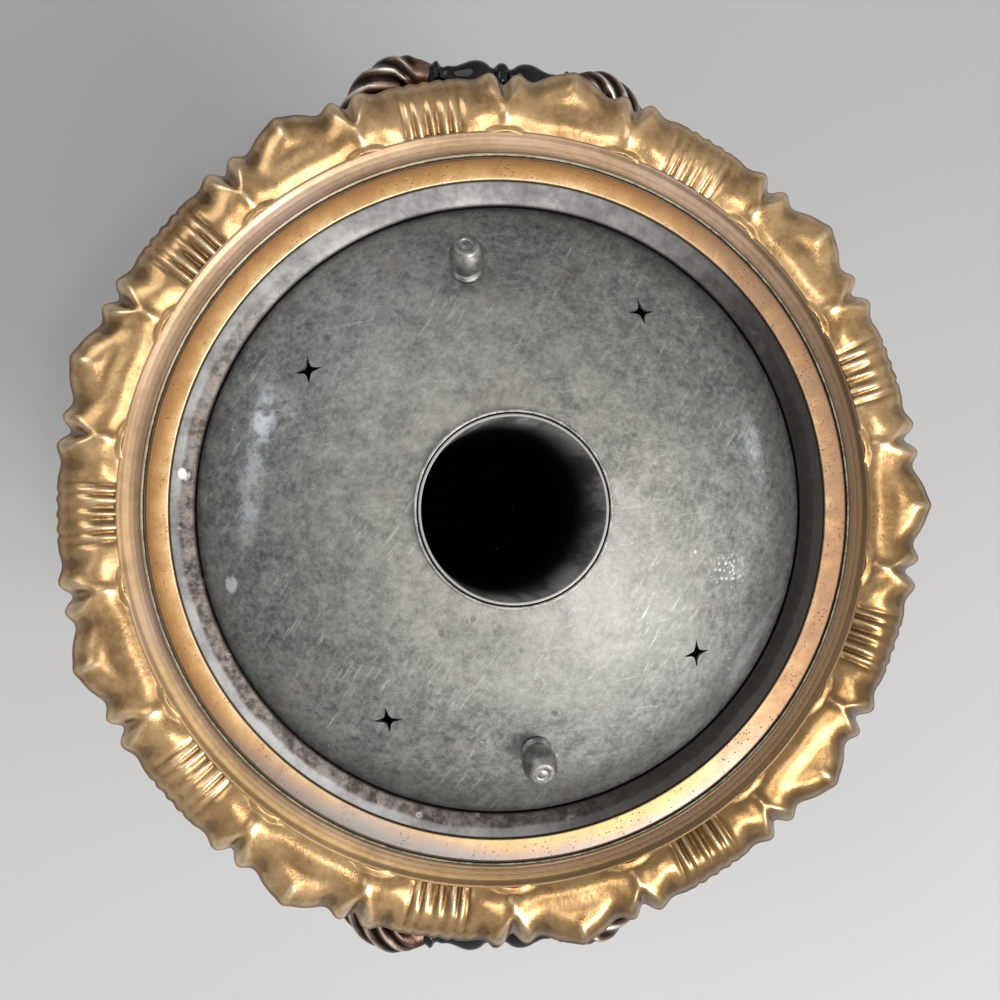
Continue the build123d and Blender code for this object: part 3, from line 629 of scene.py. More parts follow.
def ring_paint():
    """Bare orange brass with turning marks and pits, and a painted reflection towards the left handle."""
    paint = Paint("bare_ring")
    r = paint.radius
    inner_edge = 0.1318
    rings = paint.noise_along(r, 1900, 3, 0.7)
    clouds = paint.noise(24, 6, 0.62)
    blotches = paint.noise(120, 6, 0.68, shift=(0, 1, 0))
    tone = paint.ease(0.38, 0.6, clouds * 0.4 + blotches * 0.6)
    across = paint.ramp(
        (r - inner_edge) * 125 + (clouds - 0.5) * 0.5 + (blotches - 0.5) * 0.5,
        (0.0, (0.76, 0.53, 0.29)),
        (0.3, (0.62, 0.38, 0.17)),
        (0.62, (0.5, 0.28, 0.11)),
        (1.0, (0.27, 0.14, 0.065)),
    )
    painted_reflection = paint.ramp(
        paint.noise(16, 2, shift=(0, 0, 2)) + (r - 0.136) * 40,
        (0.3, (0.53, 0.42, 0.2)),
        (0.45, (0.51, 0.36, 0.21)),
        (0.55, (0.39, 0.3, 0.26)),
        (0.68, (0.31, 0.3, 0.29)),
    )
    pits = paint.specks(560, 0.24) * paint.patches(0.42, 0.54, 60, 4, shift=(2, 0, 0))
    # Duller, rougher and darker towards the right side.
    duller_darker_right = paint.ease(0.07, 0.12, paint.x + 0.2 * paint.y)
    worn = paint.patches(0.35, 0.6, 75, 7, 0.75, shift=(5, 0, 0))
    scratches = paint.patches(0.56, 0.68, 90, 5, 0.75, stretch=(0.4, 9, 1), turn=-62)
    body = paint.layered(
        across,
        (tone * 0.55, (0.38, 0.2, 0.08)),
        (pits * 0.7, (0.2, 0.1, 0.045)),
        # Painted highlight along the ring's inner edge.
        (paint.ease(0.1326, inner_edge, r) * 0.6, (0.95, 0.75, 0.48)),
        # Painted reflection of the lamp on the side towards the left handle.
        (paint.ease(-0.06, -0.13, paint.y) * 0.85, painted_reflection),
        (duller_darker_right * (0.35 + 0.45 * worn), (0.3, 0.19, 0.13)),
        (scratches * 0.35, (0.28, 0.15, 0.07)),
    )
    height = rings * 0.35 - pits * 1.2 + blotches * 0.8
    roughness = 0.52 + 0.2 * pits + 0.24 * (blotches - 0.5) + 0.1 * duller_darker_right
    return paint.finish(body, roughness, height, depth=0.0002, strength=0.7)


def ledge_paint():
    """Grey tinned ledge: smoother outside, rough and limed inside, with painted shade towards the tap."""
    paint = Paint("tinned_ledge")
    r = paint.radius
    clouds = paint.noise(40, 6, 0.65)
    grain = paint.noise(210, 6, 0.72)
    inside = paint.ease(0.1285, 0.1268, r + (clouds - 0.5) * 0.004) * paint.ease(0.14, 0.02, paint.y)
    tone = paint.ease(0.35, 0.65, clouds * 0.6 + grain * 0.4)
    rough = paint.mix(paint.ease(0.38, 0.62, grain), (0.05, 0.034, 0.027), (0.27, 0.225, 0.195))
    # Painted shade on the side towards the tap.
    shade = paint.ease(-0.06, 0.1, paint.x * 0.95 - paint.y * 0.3)
    # Painted shade in the gaps at the ledge's outer and inner edges.
    edges = paint.ease(0.1306, 0.1313, r) + paint.ease(0.1232, 0.1222, r)
    lime = paint.patches(0.6, 0.7, 130, 5, 0.65, shift=(4, 0, 0)) * inside * (1 - shade)
    body = paint.layered(
        paint.mix(tone, (0.19, 0.185, 0.185), (0.42, 0.41, 0.4)),
        (inside * 0.85, rough),
        (shade * 0.97, (0.014, 0.012, 0.011)),
        (edges * 0.75, (0.03, 0.024, 0.02)),
        (lime * 0.6, (0.66, 0.66, 0.62)),
        (paint.spot(-126.5, 14, 1.6, 2.2), (0.8, 0.79, 0.75)),
    )
    height = grain * (0.4 + inside) + clouds * 0.5
    metal = 0.85 - 0.4 * lime
    return paint.finish(body, 0.52 + 0.14 * inside, height, depth=0.00028, strength=0.7, metallic=metal)


def lid_paint():
    """Old tinned sheet: mottled grey, scratched, with water streaks, lime, painted shade and a painted shadow
    at its far edge.
    """
    paint = Paint("tinned_sheet")
    r = paint.radius
    broad = paint.noise(9, 4)
    clouds = paint.noise(70, 8, 0.72)
    mottle = paint.noise(190, 6, 0.72, shift=(1, 1, 0))
    grain = paint.noise(900, 3, 0.7)
    speckle = paint.noise(420, 5, 0.75, shift=(2, 0, 3))
    out = paint.ease(0.06, 0.1, r)
    tone = paint.ease(0.36, 0.64, broad * 0.2 + clouds * 0.22 + mottle * 0.28 + speckle * 0.3)
    # Painted shade: the outer part of the lid is painted darker than its middle.
    outer = paint.mix(tone, (0.075, 0.077, 0.073), (0.33, 0.332, 0.315))
    warm = paint.ease(0.085, 0.03, r) * paint.ease(0.3, 0.7, clouds)
    marks = paint.patches(0.58, 0.7, 60, 5, 0.78, stretch=(0.5, 10, 1), turn=-8)
    marks = marks + paint.patches(0.6, 0.72, 60, 5, 0.78, stretch=(12, 0.6, 1), turn=-20)
    slant = paint.patches(0.53, 0.66, 75, 7, 0.8, stretch=(0.8, 7, 1), turn=-58)
    slant = slant * (0.25 + 0.75 * paint.patches(0.48, 0.62, 22, 5, 0.65, shift=(9, 2, 0)))
    flecks = paint.patches(0.6, 0.7, 230, 9, 0.82, shift=(6, 0, 1)) * paint.ease(0.4, 0.6, clouds)
    streak = paint.spot(-97, 18, 4.5, 34, turn=-8, soft=0.8)
    for *ellipse, turn in ((-91, 35, 8, 12, -25), (99, 24, 3.5, 13, 12), (98, -58, 3.0, 16, -30)):
        streak = streak + paint.spot(*ellipse, turn=turn, soft=0.9)
    broken = paint.patches(0.4, 0.62, 120, 5, 0.7, shift=(3, 3, 0))
    lime = paint.spot(87, -24, 8, 6, soft=0.8) * paint.specks(520, 0.42, shift=(0, 0, 4))
    lime = lime + paint.spot(-107, -29, 2.4, 3.2) * paint.ease(0.35, 0.5, mottle)
    lime = lime + paint.specks(85, 0.075, shift=(0.4, 0.2, 0)) * paint.ease(0.5, 0.6, clouds)
    lime = lime + paint.specks(210, 0.1, shift=(0.1, 0.6, 0)) * paint.ease(0.52, 0.6, clouds) * out
    dents = paint.specks(64, 0.12, shift=(0.7, 0.3, 0.1))
    # Painted shadow along the lid's edge, widest on the far side.
    painted_shadow_crescent = paint.ease(0.104, 0.121, r + 0.06 * (paint.x * 0.8 - paint.y * 0.6))
    body = paint.layered(
        paint.mix(tone, (0.13, 0.13, 0.12), (0.4, 0.4, 0.37)),
        (out, outer),
        (warm * 0.4, (0.42, 0.39, 0.33)),
        (paint.patches(0.6, 0.72, 60, 4, shift=(0, 5, 0)) * 0.25, (0.24, 0.18, 0.15)),
        (marks * 0.25, (0.58, 0.58, 0.55)),
        (slant * 0.7, (0.55, 0.56, 0.52)),
        (flecks * 0.5, (0.62, 0.63, 0.6)),
        (streak * broken * 0.5, (0.5, 0.54, 0.57)),
        (paint.math("MINIMUM", lime, 1.0) * 0.75, (0.68, 0.7, 0.69)),
        (dents * 0.4, (0.05, 0.05, 0.05)),
        (painted_shadow_crescent * 0.6, (0.05, 0.048, 0.044)),
        # Painted shade that dims the lamp's highlight on the lower right of the lid.
        (paint.spot(34, -44, 50, 42, soft=0.9) * 0.42, (0.15, 0.15, 0.14)),
    )
    marks = marks + slant
    height = mottle * 0.6 + grain * 0.3 + clouds * 0.9 - marks * 0.1 - dents * 0.6
    roughness = 0.56 + 0.24 * (mottle - 0.5) + 0.1 * streak - 0.06 * marks
    return paint.finish(body, roughness, height, depth=0.0003, strength=0.7, metallic=0.88 - 0.4 * streak)


def plain_metal(name, low, high, rough, scale=60.0, depth=0.0001):
    """A simple worn metal: two tones in clouds, and a fine grain."""
    paint = Paint(name)
    clouds = paint.noise(scale, 5)
    grain = paint.noise(scale * 9, 3, 0.65)
    body = paint.mix(paint.ease(0.3, 0.7, clouds * 0.7 + grain * 0.3), low, high)
    return paint.finish(body, rough + 0.2 * (clouds - 0.5), clouds + grain * 0.5, depth=depth)


def tube_paint():
    """The fire tube: sooty, grey near its mouth from tin and painted light, with streaks down it."""
    paint = Paint("sooty_tube")
    mouth = 0.4505
    streaks = paint.noise(90, 5, 0.7, stretch=(1, 1, 0.12))
    clouds = paint.noise(60, 4)
    # Tin and painted light: the wall is painted paler near the mouth, fading to soot below.
    top = paint.ease(0.375, 0.446, paint.z) * (0.35 + 0.65 * paint.ease(0.35, 0.6, streaks))
    body = paint.layered(
        paint.mix(clouds, (0.008, 0.008, 0.008), (0.03, 0.029, 0.028)),
        (top, paint.mix(streaks, (0.2, 0.2, 0.2), (0.62, 0.62, 0.6))),
        (paint.ease(mouth - 0.001, mouth, paint.z), (0.32, 0.31, 0.29)),
    )
    metal = 1.0 - 0.6 * paint.ease(0.0353, 0.0348, paint.radius)
    return paint.finish(body, 0.5, streaks + clouds * 0.5, depth=0.0002, metallic=metal)


def wood_paint():
    """Black lacquered wood, glossy, with a few worn places."""
    paint = Paint("black_wood", metallic=0.0)
    paint.shader.inputs["IOR"].default_value = 1.4
    grain = paint.noise(70, 5, stretch=(0.2, 1, 1))
    worn = paint.patches(0.6, 0.75, 120, 4, shift=(1, 0, 0))
    body = paint.mix(grain, (0.001, 0.001, 0.002), (0.003, 0.003, 0.006))
    return paint.finish(body, 0.05 + 0.12 * worn, grain * 0.5 + worn, depth=0.00004)


def bronze_paint():
    """Dark bronze with a red-brown patina, pale on its ribs from wear and painted highlight."""
    paint = Paint("dark_bronze")
    relief = paint.attribute("relief")
    clouds = paint.noise(80, 6, 0.65)
    grain = paint.noise(500, 3)
    # Wear and painted highlight: the ribs are painted pale.
    worn = paint.ease(0.25, 0.95, relief) * (0.45 + 0.55 * paint.ease(0.35, 0.6, clouds))
    # Painted highlight: a pale grey-green on the ribs.
    painted_green_highlight = paint.patches(0.5, 0.66, 45, 4, shift=(0, 0, 7)) * paint.ease(0.2, 0.8, relief)
    body = paint.layered(
        paint.mix(paint.ease(0.35, 0.65, clouds), (0.07, 0.04, 0.03), (0.26, 0.16, 0.12)),
        (worn, (0.8, 0.68, 0.58)),
        (paint.ease(0.1, -0.7, relief) * 0.95, (0.012, 0.008, 0.007)),
        (painted_green_highlight * 0.6, (0.66, 0.72, 0.62)),
    )
    return paint.finish(body, 0.26 + 0.2 * clouds, grain + clouds, depth=0.00015)


patinated_brass = brass_paint(
    "patinated_brass", (0.58, 0.375, 0.185), (0.32, 0.18, 0.07), (0.1, 0.055, 0.028), rough=0.285
)
tap_brass = brass_paint("tap_brass", (0.8, 0.58, 0.3), (0.58, 0.38, 0.17), (0.22, 0.12, 0.05), rough=0.3)
brown_brass = cove_paint()
bare_ring = ring_paint()
tinned_ledge = ledge_paint()
tinned_sheet = lid_paint()
tinned_knob = plain_metal(
    "tinned_knob", (0.12, 0.12, 0.115), (0.4, 0.39, 0.37), 0.42, scale=220, depth=0.0002
)
sooty_tube = tube_paint()
cast_grate = plain_metal("cast_grate", (0.02, 0.018, 0.017), (0.07, 0.06, 0.055), 0.7, depth=0.0004)
steel = plain_metal("steel", (0.3, 0.3, 0.3), (0.5, 0.5, 0.49), 0.35)
black_wood = wood_paint()
dark_bronze = bronze_paint()


# Ruffled shoulder


def cove_height(r):
    """Height below the ring's level of the turned cove, which dips at the ring and rises to the ruffle."""
    return eased(r, *zip(*cove_profile))


def rim(off):
    """Radius of the ruffled edge, by degrees from the nearest lobe."""
    petal = 0.86 * bump(off / 3.7) + 0.14 * bump(off / 0.9)
    radius = rim_radius + (lobe_radius - 1.0 - rim_radius) * petal
    for horn in (notch_at + horn_at, notch_at - horn_at):
        radius = radius + 1.2 * bump((off - horn) / 1.2)
    radius = radius - 2.2 * bump((off - notch_at) / 0.9)
    radius = radius - 1.5 * bump((off - 5.4) / 1.5)
    return radius - 0.6 * pleats(off) - 0.6 * bump((off - 13.6) / 1.2)


def border(off):
    """Radius of the ruffle's inner edge, which arches outwards at each notch."""
    return border_radius + border_arch * bump((off - notch_at) / 3.6)


def pleats(off):
    """1 in the bottom of a pleat's groove, 0 on its ridges and away from the pleats."""
    across = 180 / lobe_count - off
    uneven = across + 0.16 * np.sin(2.3 * across + 0.6)
    groove = (1 - np.cos(2 * pi * uneven / pleat_pitch)) / 2
    return np.where(across > 2 * pleat_pitch, 0, groove**1.5)


def lobe_relief(off, t, out):
    """A swell by the border and a dip behind it, then the lobe's petal with its keel."""
    height = 0.5 * bump(off / 5.2) * bump((t - 0.24) / 0.14)
    height -= 0.7 * bump(off / 4.6) * bump((t - 0.5) / 0.13)
    height += 1.2 * bump(off / 4.6) * ramped(0.35, 0.8, t)
    height += 1.0 * bump(off / 0.75) * ramped(0.55, 0.86, t)
    height += 2.6 * bump(off / 3.8) * out
    return height - 1.3 * bump((off - 5.2) / 1.6) * ramped(0.4, 0.9, t)


def notch_relief(off, t, out):
    """Two horns that part towards the edge, with a deep crease between them."""
    spread = (horn_at + 0.1) * ramped(0.3, 0.85, t)
    stem = ramped(0.05, 0.3, t)
    height = 0.7 * bump((off - notch_at) / 2.8) * (1 - out)
    for side in (-1, 1):
        ridge = bump((off - notch_at - side * spread) / (0.65 + 0.45 * out))
        height += (0.45 + 1.2 * out) * ridge * stem
    return height - (0.5 + 2.7 * out) * bump((off - notch_at) / (0.55 + 0.35 * out)) * ramped(0.42, 0.72, t)


def pleat_relief(off, t, out):
    """A swell, a dip and a sharp crease beside the pleats, then the pleats' own grooves."""
    height = 0.9 * bump((off - 13.2) / 2.2) * bump((t - 0.35) / 0.22)
    height -= 0.9 * bump((off - 13.6) / 1.3) * ramped(0.3, 0.8, t)
    height -= 0.9 * bump((off - 15.9) / 0.5) * ramped(0.05, 0.2, t) * (1 - 0.6 * out)
    height -= 1.7 * pleats(off) * ramped(0.02, 0.14, t) * (1 - 0.85 * ramped(0.3, 0.66, t))
    return height + 0.7 * ramped(15.5, 17.5, off) * bump((t - 0.45) / 0.3)


def ruffle_height(off, t):
    """Height below the ring's level, across the ruffle from its border (t = 0) to its edge (t = 1)."""
    across = (0, 0.05, 0.12, 0.22, 0.34, 0.46, 0.6, 0.74, 0.88, 1)
    pillow = (-5.6, -5.1, -4.5, -3.7, -3.2, -3.1, -3.8, -5.6, -8.6, -12.6)
    lift = cove_height(border(off)) - gap - pillow[0]
    height = eased(t, across, pillow) + lift * (1 - ramped(0, 0.12, t))
    out = ramped(0.45, 0.95, t)
    return height + lobe_relief(off, t, out) + notch_relief(off, t, out) + pleat_relief(off, t, out)


def wave_columns():
    """Angles across one wave, in degrees from its lobe, closer together where it bends more."""
    spans = ((0, 2.4, 0.3), (2.4, 6.2, 0.45), (6.2, 12.4, 0.3), (12.4, 15, 0.43))
    half = np.concatenate([np.arange(*span) for span in spans] + [np.linspace(15, 20, 26)])
    return np.concatenate([-half[:0:-1], half])


def relief_of(heights, reach=4):
    """How far each corner of a grid stands above or below its surroundings, from -1 to 1."""
    full_relief = 0.55
    padded = np.pad(heights, reach, mode="edge")
    rows, columns = heights.shape
    total = np.zeros_like(heights)
    for i in range(2 * reach + 1):
        for j in range(2 * reach + 1):
            total += padded[i : i + rows, j : j + columns]
    return np.clip((heights - total / (2 * reach + 1) ** 2) / full_relief, -1, 1)


def one_wave():
    """One of the nine waves: its outside from the border over the edge to the skirt, then its inside."""
    phi = wave_columns()
    off = np.abs(phi)
    spans = np.linspace(0, 0.16, 9)[:-1], np.linspace(0.16, 0.8, 24)[:-1], np.linspace(0.8, 1, 11)
    t = np.concatenate(spans)
    edge = rim(off)
    lip = border(off)
    radii = lip + np.outer(t, edge - 0.8 - lip)
    heights = ruffle_height(np.broadcast_to(off, radii.shape), np.broadcast_to(t[:, None], radii.shape))
    relief = relief_of(heights)

    last = heights[-1]
    bend_r = edge - 0.22 * (edge - skirt_radius)
    bend_z = -27.5
    under_r = [edge - 0.2, edge, edge - 0.35]
    under_z = [last - 0.5, last - 1.3, last - 2.4]
    for u in np.linspace(0.08, 1, 13):
        under_r.append((1 - u) ** 2 * (edge - 0.8) + 2 * u * (1 - u) * bend_r + u * u * skirt_radius)
        under_z.append((1 - u) ** 2 * (last - 3) + 2 * u * (1 - u) * bend_z - u * u * skirt_drop)
    radii = np.vstack([radii, under_r])
    heights = np.vstack([heights, under_z])
    relief = np.vstack([relief, np.zeros((len(under_r), len(phi)))])

    rows = len(radii)
    slope_r = np.gradient(radii, axis=0)
    slope_z = np.gradient(heights, axis=0)
    length = np.hypot(slope_r, slope_z)
    picked = list(range(rows - 1, 0, -5)) + [0]
    inner_r = (radii + sheet * slope_z / length)[picked]
    inner_z = (heights - sheet * slope_r / length)[picked]
    inner_z[-1] = np.minimum(inner_z[-1], heights[0] - 0.1)
    radii = np.vstack([radii, inner_r])
    heights = np.vstack([heights, inner_z])
    relief = np.vstack([relief, np.zeros_like(inner_r)])

    turn = np.radians(phi)
    corners = np.stack([radii * np.cos(turn), radii * np.sin(turn), ring_level + heights], axis=2)
    columns = len(phi)
    faces = grid_faces(len(radii), columns)
    last_row = (len(radii) - 1) * columns
    faces += [(last_row + j, last_row + j + 1, j + 1, j) for j in range(columns - 1)]
    return corners.reshape(-1, 3), faces, relief.ravel()


def set_attribute(thing, name, values):
    thing.data.attributes.new(name, "FLOAT", "POINT").data.foreach_set("value", values)


def make_ruffle():
    corners, faces, relief = one_wave()
    mesh = bpy.data.meshes.new("wave")
    mesh.from_pydata((corners * MM).tolist(), [], faces)
    wave = linked("wave", mesh)
    set_attribute(wave, "relief", relief)
    values = {"Count": lobe_count, "First angle": radians(first_lobe), "Weld": 0.02 * MM}
    values["Material"] = patinated_brass
    ruffle = with_nodes(wave, repeat_tree(), values, "ruffled_shoulder", sharp=60)
    dressed(ruffle, patinated_brass, "patinated_brass", "urn", "shoulder_drape")


# Neck


def make_neck():
    top = ring_level
    below = top - ring_thick
    ring = [(ring_inner, top), (ring_outer, top), (ring_outer, below), (ring_inner, below)]
    ring = rounded(ring, 0.45)
    dressed(make_mesh("flat_ring", turned(ring, 288)), bare_ring, "bare_ring", "urn", "neck_ring")

    seat = top - ledge_depth
    ledge_top = top - ledge_drop
    outside = ring_outer - neck_wall - 0.05
    ledge = rounded(
        [
            (ring_inner - gap, ledge_top),
            (ledge_inner + 3.5, ledge_top - 0.55 * ledge_slope),
            (ledge_inner, ledge_top - ledge_slope),
            (ledge_inner, seat),
            (ledge_inner - lip_width, seat),
            (ledge_inner - lip_width, seat - sheet),
            (ledge_inner + sheet, seat - sheet),
            (ledge_inner + sheet, below - sheet),
            (outside, below - sheet),
            (outside, below),
            (ring_inner - gap, below),
        ],
        0.4,
    )
    dressed(make_mesh("lid_ledge", turned(ledge, 288)), tinned_ledge, "tinned_ledge", "urn", "inner_ledge")

    inside = ring_outer + gap
    bead = inside + seam_width
    cove_top = bead + bead_width
    cove_end = cove_top + cove_width
    outline = [
        (inside, top - collar_depth),
        (inside, top - 2.0),
        (bead - 0.2, top - 1.7),
        (bead, top - 0.7),
        (bead + 0.35, top - 0.25),
        (bead + 0.9, top - 0.1),
        (bead + 1.3, top - 0.5),
        (bead + 1.55, top - 1.6),
    ]
    for r in np.linspace(cove_top + 0.2, cove_end, 40):
        outline.append((float(r), top + float(cove_height(r))))
    under = top - cove_start - cove_depth - sheet
    outline += [(cove_end, under), (bead + 2, under), (bead + 1, top - collar_depth)]
    dressed(make_mesh("turned_cove", turned(outline, 288)), brown_brass, "brown_brass", "urn", "cove_collar")


# Lid


def dome_height(radius, sphere=dome_radius):
    centre = ring_level - lid_edge_drop - sqrt(dome_radius**2 - lid_edge**2)
    return centre + sqrt(sphere**2 - radius**2)


def on_dome(circle, angle):
    """A place on the lid's outside, with Z square to the sheet."""
    turn = Matrix.Rotation(radians(angle), 4, "Z")
    spot = Matrix.Translation((circle, 0, dome_height(circle)))
    return turn @ spot @ Matrix.Rotation(asin(circle / dome_radius), 4, "Y")


def star():
    """A four-pointed prism with sides that curve inwards."""
    outline = []
    for k in range(4):
        for turn, reach in ((0, vent_tip), (10, 3.4), (24, 2.3), (45, 1.9), (66, 2.3), (80, 3.4)):
            a = radians(90 * k + turn)
            outline.append((reach * cos(a), reach * sin(a)))
    reach = 6
    corners = [(x, y, z) for z in (-reach, reach) for x, y in outline]
    count = len(outline)
    faces = [tuple(range(count - 1, -1, -1)), tuple(range(count, 2 * count))]
    faces += [(k, (k + 1) % count, count + (k + 1) % count, count + k) for k in range(count)]
    return corners, faces


def make_lid():
    sleeve_bore = tube_bore + tube_wall + sleeve_gap
    sleeve_outer = sleeve_bore + sleeve_wall
    hole = sleeve_outer + 0.05
    under = dome_radius - lid_sheet
    radii = np.linspace(hole, lid_edge - 0.3, 34)
    outline = [(float(r), dome_height(float(r))) for r in radii]
    outline += [(lid_edge, dome_height(lid_edge) - 0.35), (lid_edge, dome_height(lid_edge) - 0.9)]
    outline += [(float(r), dome_height(float(r), under)) for r in radii[::-1]]
    plate = make_mesh("plate", turned(outline, 240))
    stars = [
        placed(star(), on_dome(vent_circle, a) @ Matrix.Rotation(radians(vent_turn - a), 4, "Z"))
        for a in vent_angles
    ]
    plate = cut(plate, make_mesh("stars", joined(*stars)), "lid_dome")
    dressed(plate, tinned_sheet, "tinned_sheet", "lid", "lid_plate")

    top = dome_height(hole) + sleeve_rise
    low = top - sleeve_height
    sleeve = rounded([(sleeve_bore, low), (sleeve_outer, low), (sleeve_outer, top), (sleeve_bore, top)], 0.35)
    dressed(make_mesh("lid_collar", turned(sleeve, 180)), tinned_knob, "tinned_sheet", "lid", "lid_sleeve")

    knob = [(share * knob_radius, z) for share, z in knob_collar]
    knob += curved([(x * knob_radius, z * knob_height) for x, z in knob_barrel], 4)
    knob += [(x * knob_radius, z * knob_height) for x, z in knob_top]
    for side, angle in knob_angles.items():
        shape = placed(turned(knob, 64, closed=False), on_dome(knob_circle, angle))
        made = make_mesh(f"{side}_knob", shape, sharp=50)
        dressed(made, tinned_knob, "tinned_knob", "lid", f"lid_knob_{side}")


# Fire tube


def make_tube():
    low = body_level - 7
    top = ring_level + tube_proud
    outer = tube_bore + tube_wall
    chamber_outer = chamber_bore + chamber_wall
    outline = [(chamber_outer, low), (chamber_outer, low + chamber_height), (outer, low + chamber_neck)]
    outline += [(outer, top), (tube_bore, top), (tube_bore, low + chamber_neck)]
    outline += [(chamber_bore, low + chamber_height), (chamber_bore, low + 2)]
    outline += [(chamber_lip, low + 2), (chamber_lip, low)]
    outline = rounded(outline, 0.3)
    tube = make_mesh("fire_tube_wall", turned(outline, 144))
    dressed(tube, sooty_tube, "sooty_tube", "urn", "fire_tube")


# Body, stem and foot


def flute(x, y):
    """0 on a rib of the body and 1 in the bottom of a groove, two to each wave of the ruffle."""
    angle = degrees(np.arctan2(y, x))
    return 0.5 - 0.5 * cos(radians(2 * lobe_count * (angle - first_lobe)))


def fluted(outline, steps, depth):
    """An outline turned about Z, with soft upright flutes whose depth depends on the height."""
    corners, faces = turned(outline, steps)
    waved = []
    for x, y, z in corners:
        shrink = 1 - depth(z) * flute(x, y) ** 1.5 / hypot(x, y)
        waved.append((x * shrink, y * shrink, z))
    return waved, faces


def make_body():
    outer = [(r, ring_level + z) for r, z in body_outline]
    skin = curved(outer, 7)
    inner = []
    for k, (r, z) in enumerate(skin):
        before = skin[max(k - 1, 0)]
        after = skin[min(k + 1, len(skin) - 1)]
        length = hypot(after[0] - before[0], after[1] - before[1])
        slope_r = (after[0] - before[0]) / length
        slope_z = (after[1] - before[1]) / length
        inner.append((r + shell_wall * slope_z, z - shell_wall * slope_r))
    top = ring_level - neck_top_drop
    floor = body_level + floor_thick
    inner[0] = (ring_outer - shell_wall, ring_level - neck_drop)
    inner[-1] = (floor_hole + 2, floor)
    outline = [(ring_outer, top)] + skin + [(floor_hole, body_level), (floor_hole, floor)]
    outline += inner[::-1] + [(neck_inner, top)]

    def depth(z):
        drop = ring_level - z
        return flute_depth * float(ramped(60, 130, drop)) * (1 - float(ramped(285, 313, drop)))

    shell = make_mesh("body_wall", fluted(outline, 288, depth), sharp=60)
    # Relief for the paint: the ribs get wear and painted highlight, the grooves dark patina.
    worn = []
    for vertex in shell.data.vertices:
        x, y, z = vertex.co / MM
        worn.append((0.3 - 0.65 * flute(x, y) ** 1.5) * depth(z) / flute_depth)
    set_attribute(shell, "relief", worn)
    bands = ("body_shell", "body_belly", "body_bowl", "body_bottom")
    dressed(shell, patinated_brass, "patinated_brass", "urn", *bands)


def refined(name, node, paint, body, bevel=0.0, sharp=32):
    """A copy of a CAD node with its triangles merged, smooth where they bend little."""
    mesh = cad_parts[node].data.copy()
    work = bmesh.new()
    work.from_mesh(mesh)
    bmesh.ops.remove_doubles(work, verts=work.verts, dist=2e-6)
    bmesh.ops.dissolve_limit(work, angle_limit=radians(0.3), verts=work.verts, edges=work.edges)
    bmesh.ops.triangulate(work, faces=[f for f in work.faces if len(f.verts) > 4])
    work.to_mesh(mesh)
    work.free()
    smoothed(mesh, sharp)
    thing = linked(name, mesh)
    if bevel:
        edge = thing.modifiers.new("edge", "BEVEL")
        edge.width = bevel * MM
        edge.segments = 2
        edge.limit_method = "ANGLE"
        edge.angle_limit = radians(40)
        graph = bpy.context.evaluated_depsgraph_get()
        thing.data = bpy.data.meshes.new_from_object(thing.evaluated_get(graph))
        thing.modifiers.clear()
        smoothed(thing.data, sharp)
    dressed(thing, paint, paint.name.removesuffix("_finish"), body, node)


# Handles


def handle_place(side):
    angle = radians(handle_angles[side])
    reach = handle_reach[side]
    spot = (reach * cos(angle), reach * sin(angle), ring_level - grip_drop)
    return Matrix.Translation(spot) @ Matrix.Rotation(radians(handle_turns[side]), 4, "Z")


def make_grips():
    half = [(x, share * grip_bead) for x, share in grip_swells]
    half += [(x, share * grip_neck) for x, share in grip_rings]
    side_line = curved([(r, -x) for x, r in half[:0:-1]] + [(r, x) for x, r in half], 3)
    outline = [(rod_radius, -grip_length / 2)] + side_line + [(rod_radius, grip_length / 2)]
    across = Matrix.Rotation(pi / 2, 4, "Y")
    for side in handle_angles:
        shape = placed(turned(outline, 72), handle_place(side) @ across)
        grip = make_mesh(f"{side}_grip", shape, sharp=50)
        dressed(grip, black_wood, "black_wood", "urn", f"{side}_handle_grip")


def arm_path(side):
    """Middle points down one arm, from the grip's end to its pad on the body."""
    end = grip_length / 2
    wall = sqrt(body_radius(ring_level - grip_drop - arm_drop) ** 2 - (end + arm_span) ** 2)
    middles = [
        (end, 0, 0),
        (end + 5, 0.6, 0.2),
        (end + 12, 0.6, -1.5),
        (end + 22, -4.0, -7.5),
        (end + 30, -14, -16),
        (end + arm_span, -26, -25),
        (end + arm_span, wall - 0.5 - handle_reach[side], -arm_drop),
    ]
    return curved(middles, 16)


def sweep_arm(side, end):
    """A ribbed horn from the grip to the body: shell ribs wind round it as it goes."""
    middles = np.array(arm_path(side))
    along = np.linspace(0, len(arm_radii) - 1, len(middles))
    radii = eased(along, range(len(arm_radii)), arm_radii)
    ahead = np.gradient(middles, axis=0)
    ahead /= np.linalg.norm(ahead, axis=1)[:, None]
    up = np.array([0, 0, 1.0])
    steps = 72
    corners = []
    relief = []
    for k, (middle, way, radius) in enumerate(zip(middles, ahead, radii)):
        across = np.cross(way, up)
        across /= np.linalg.norm(across)
        over = np.cross(across, way)
        u = k / (len(middles) - 1)
        strength = float(ramped(0.1, 0.3, u) * (1 - ramped(0.9, 1, u)))
        for j in range(steps):
            a = 2 * pi * j / steps
            crest = cos(arm_ribs * a + end * arm_twist * u)
            crest = 1 - 2 * ((1 - crest) / 2) ** 0.7
            r = radius * (1 + arm_rib_depth * strength * crest)
            spot = middle + across * r * cos(a) + over * r * arm_flatness * sin(a)
            corners.append((end * spot[0], spot[1], spot[2]))
            relief.append(strength * crest)
    rows = len(middles)
    faces = grid_faces(rows, steps, around=True)
    faces.append(tuple(range(steps)))
    faces.append(tuple(range((rows - 1) * steps, rows * steps)))
    return (corners, faces), relief


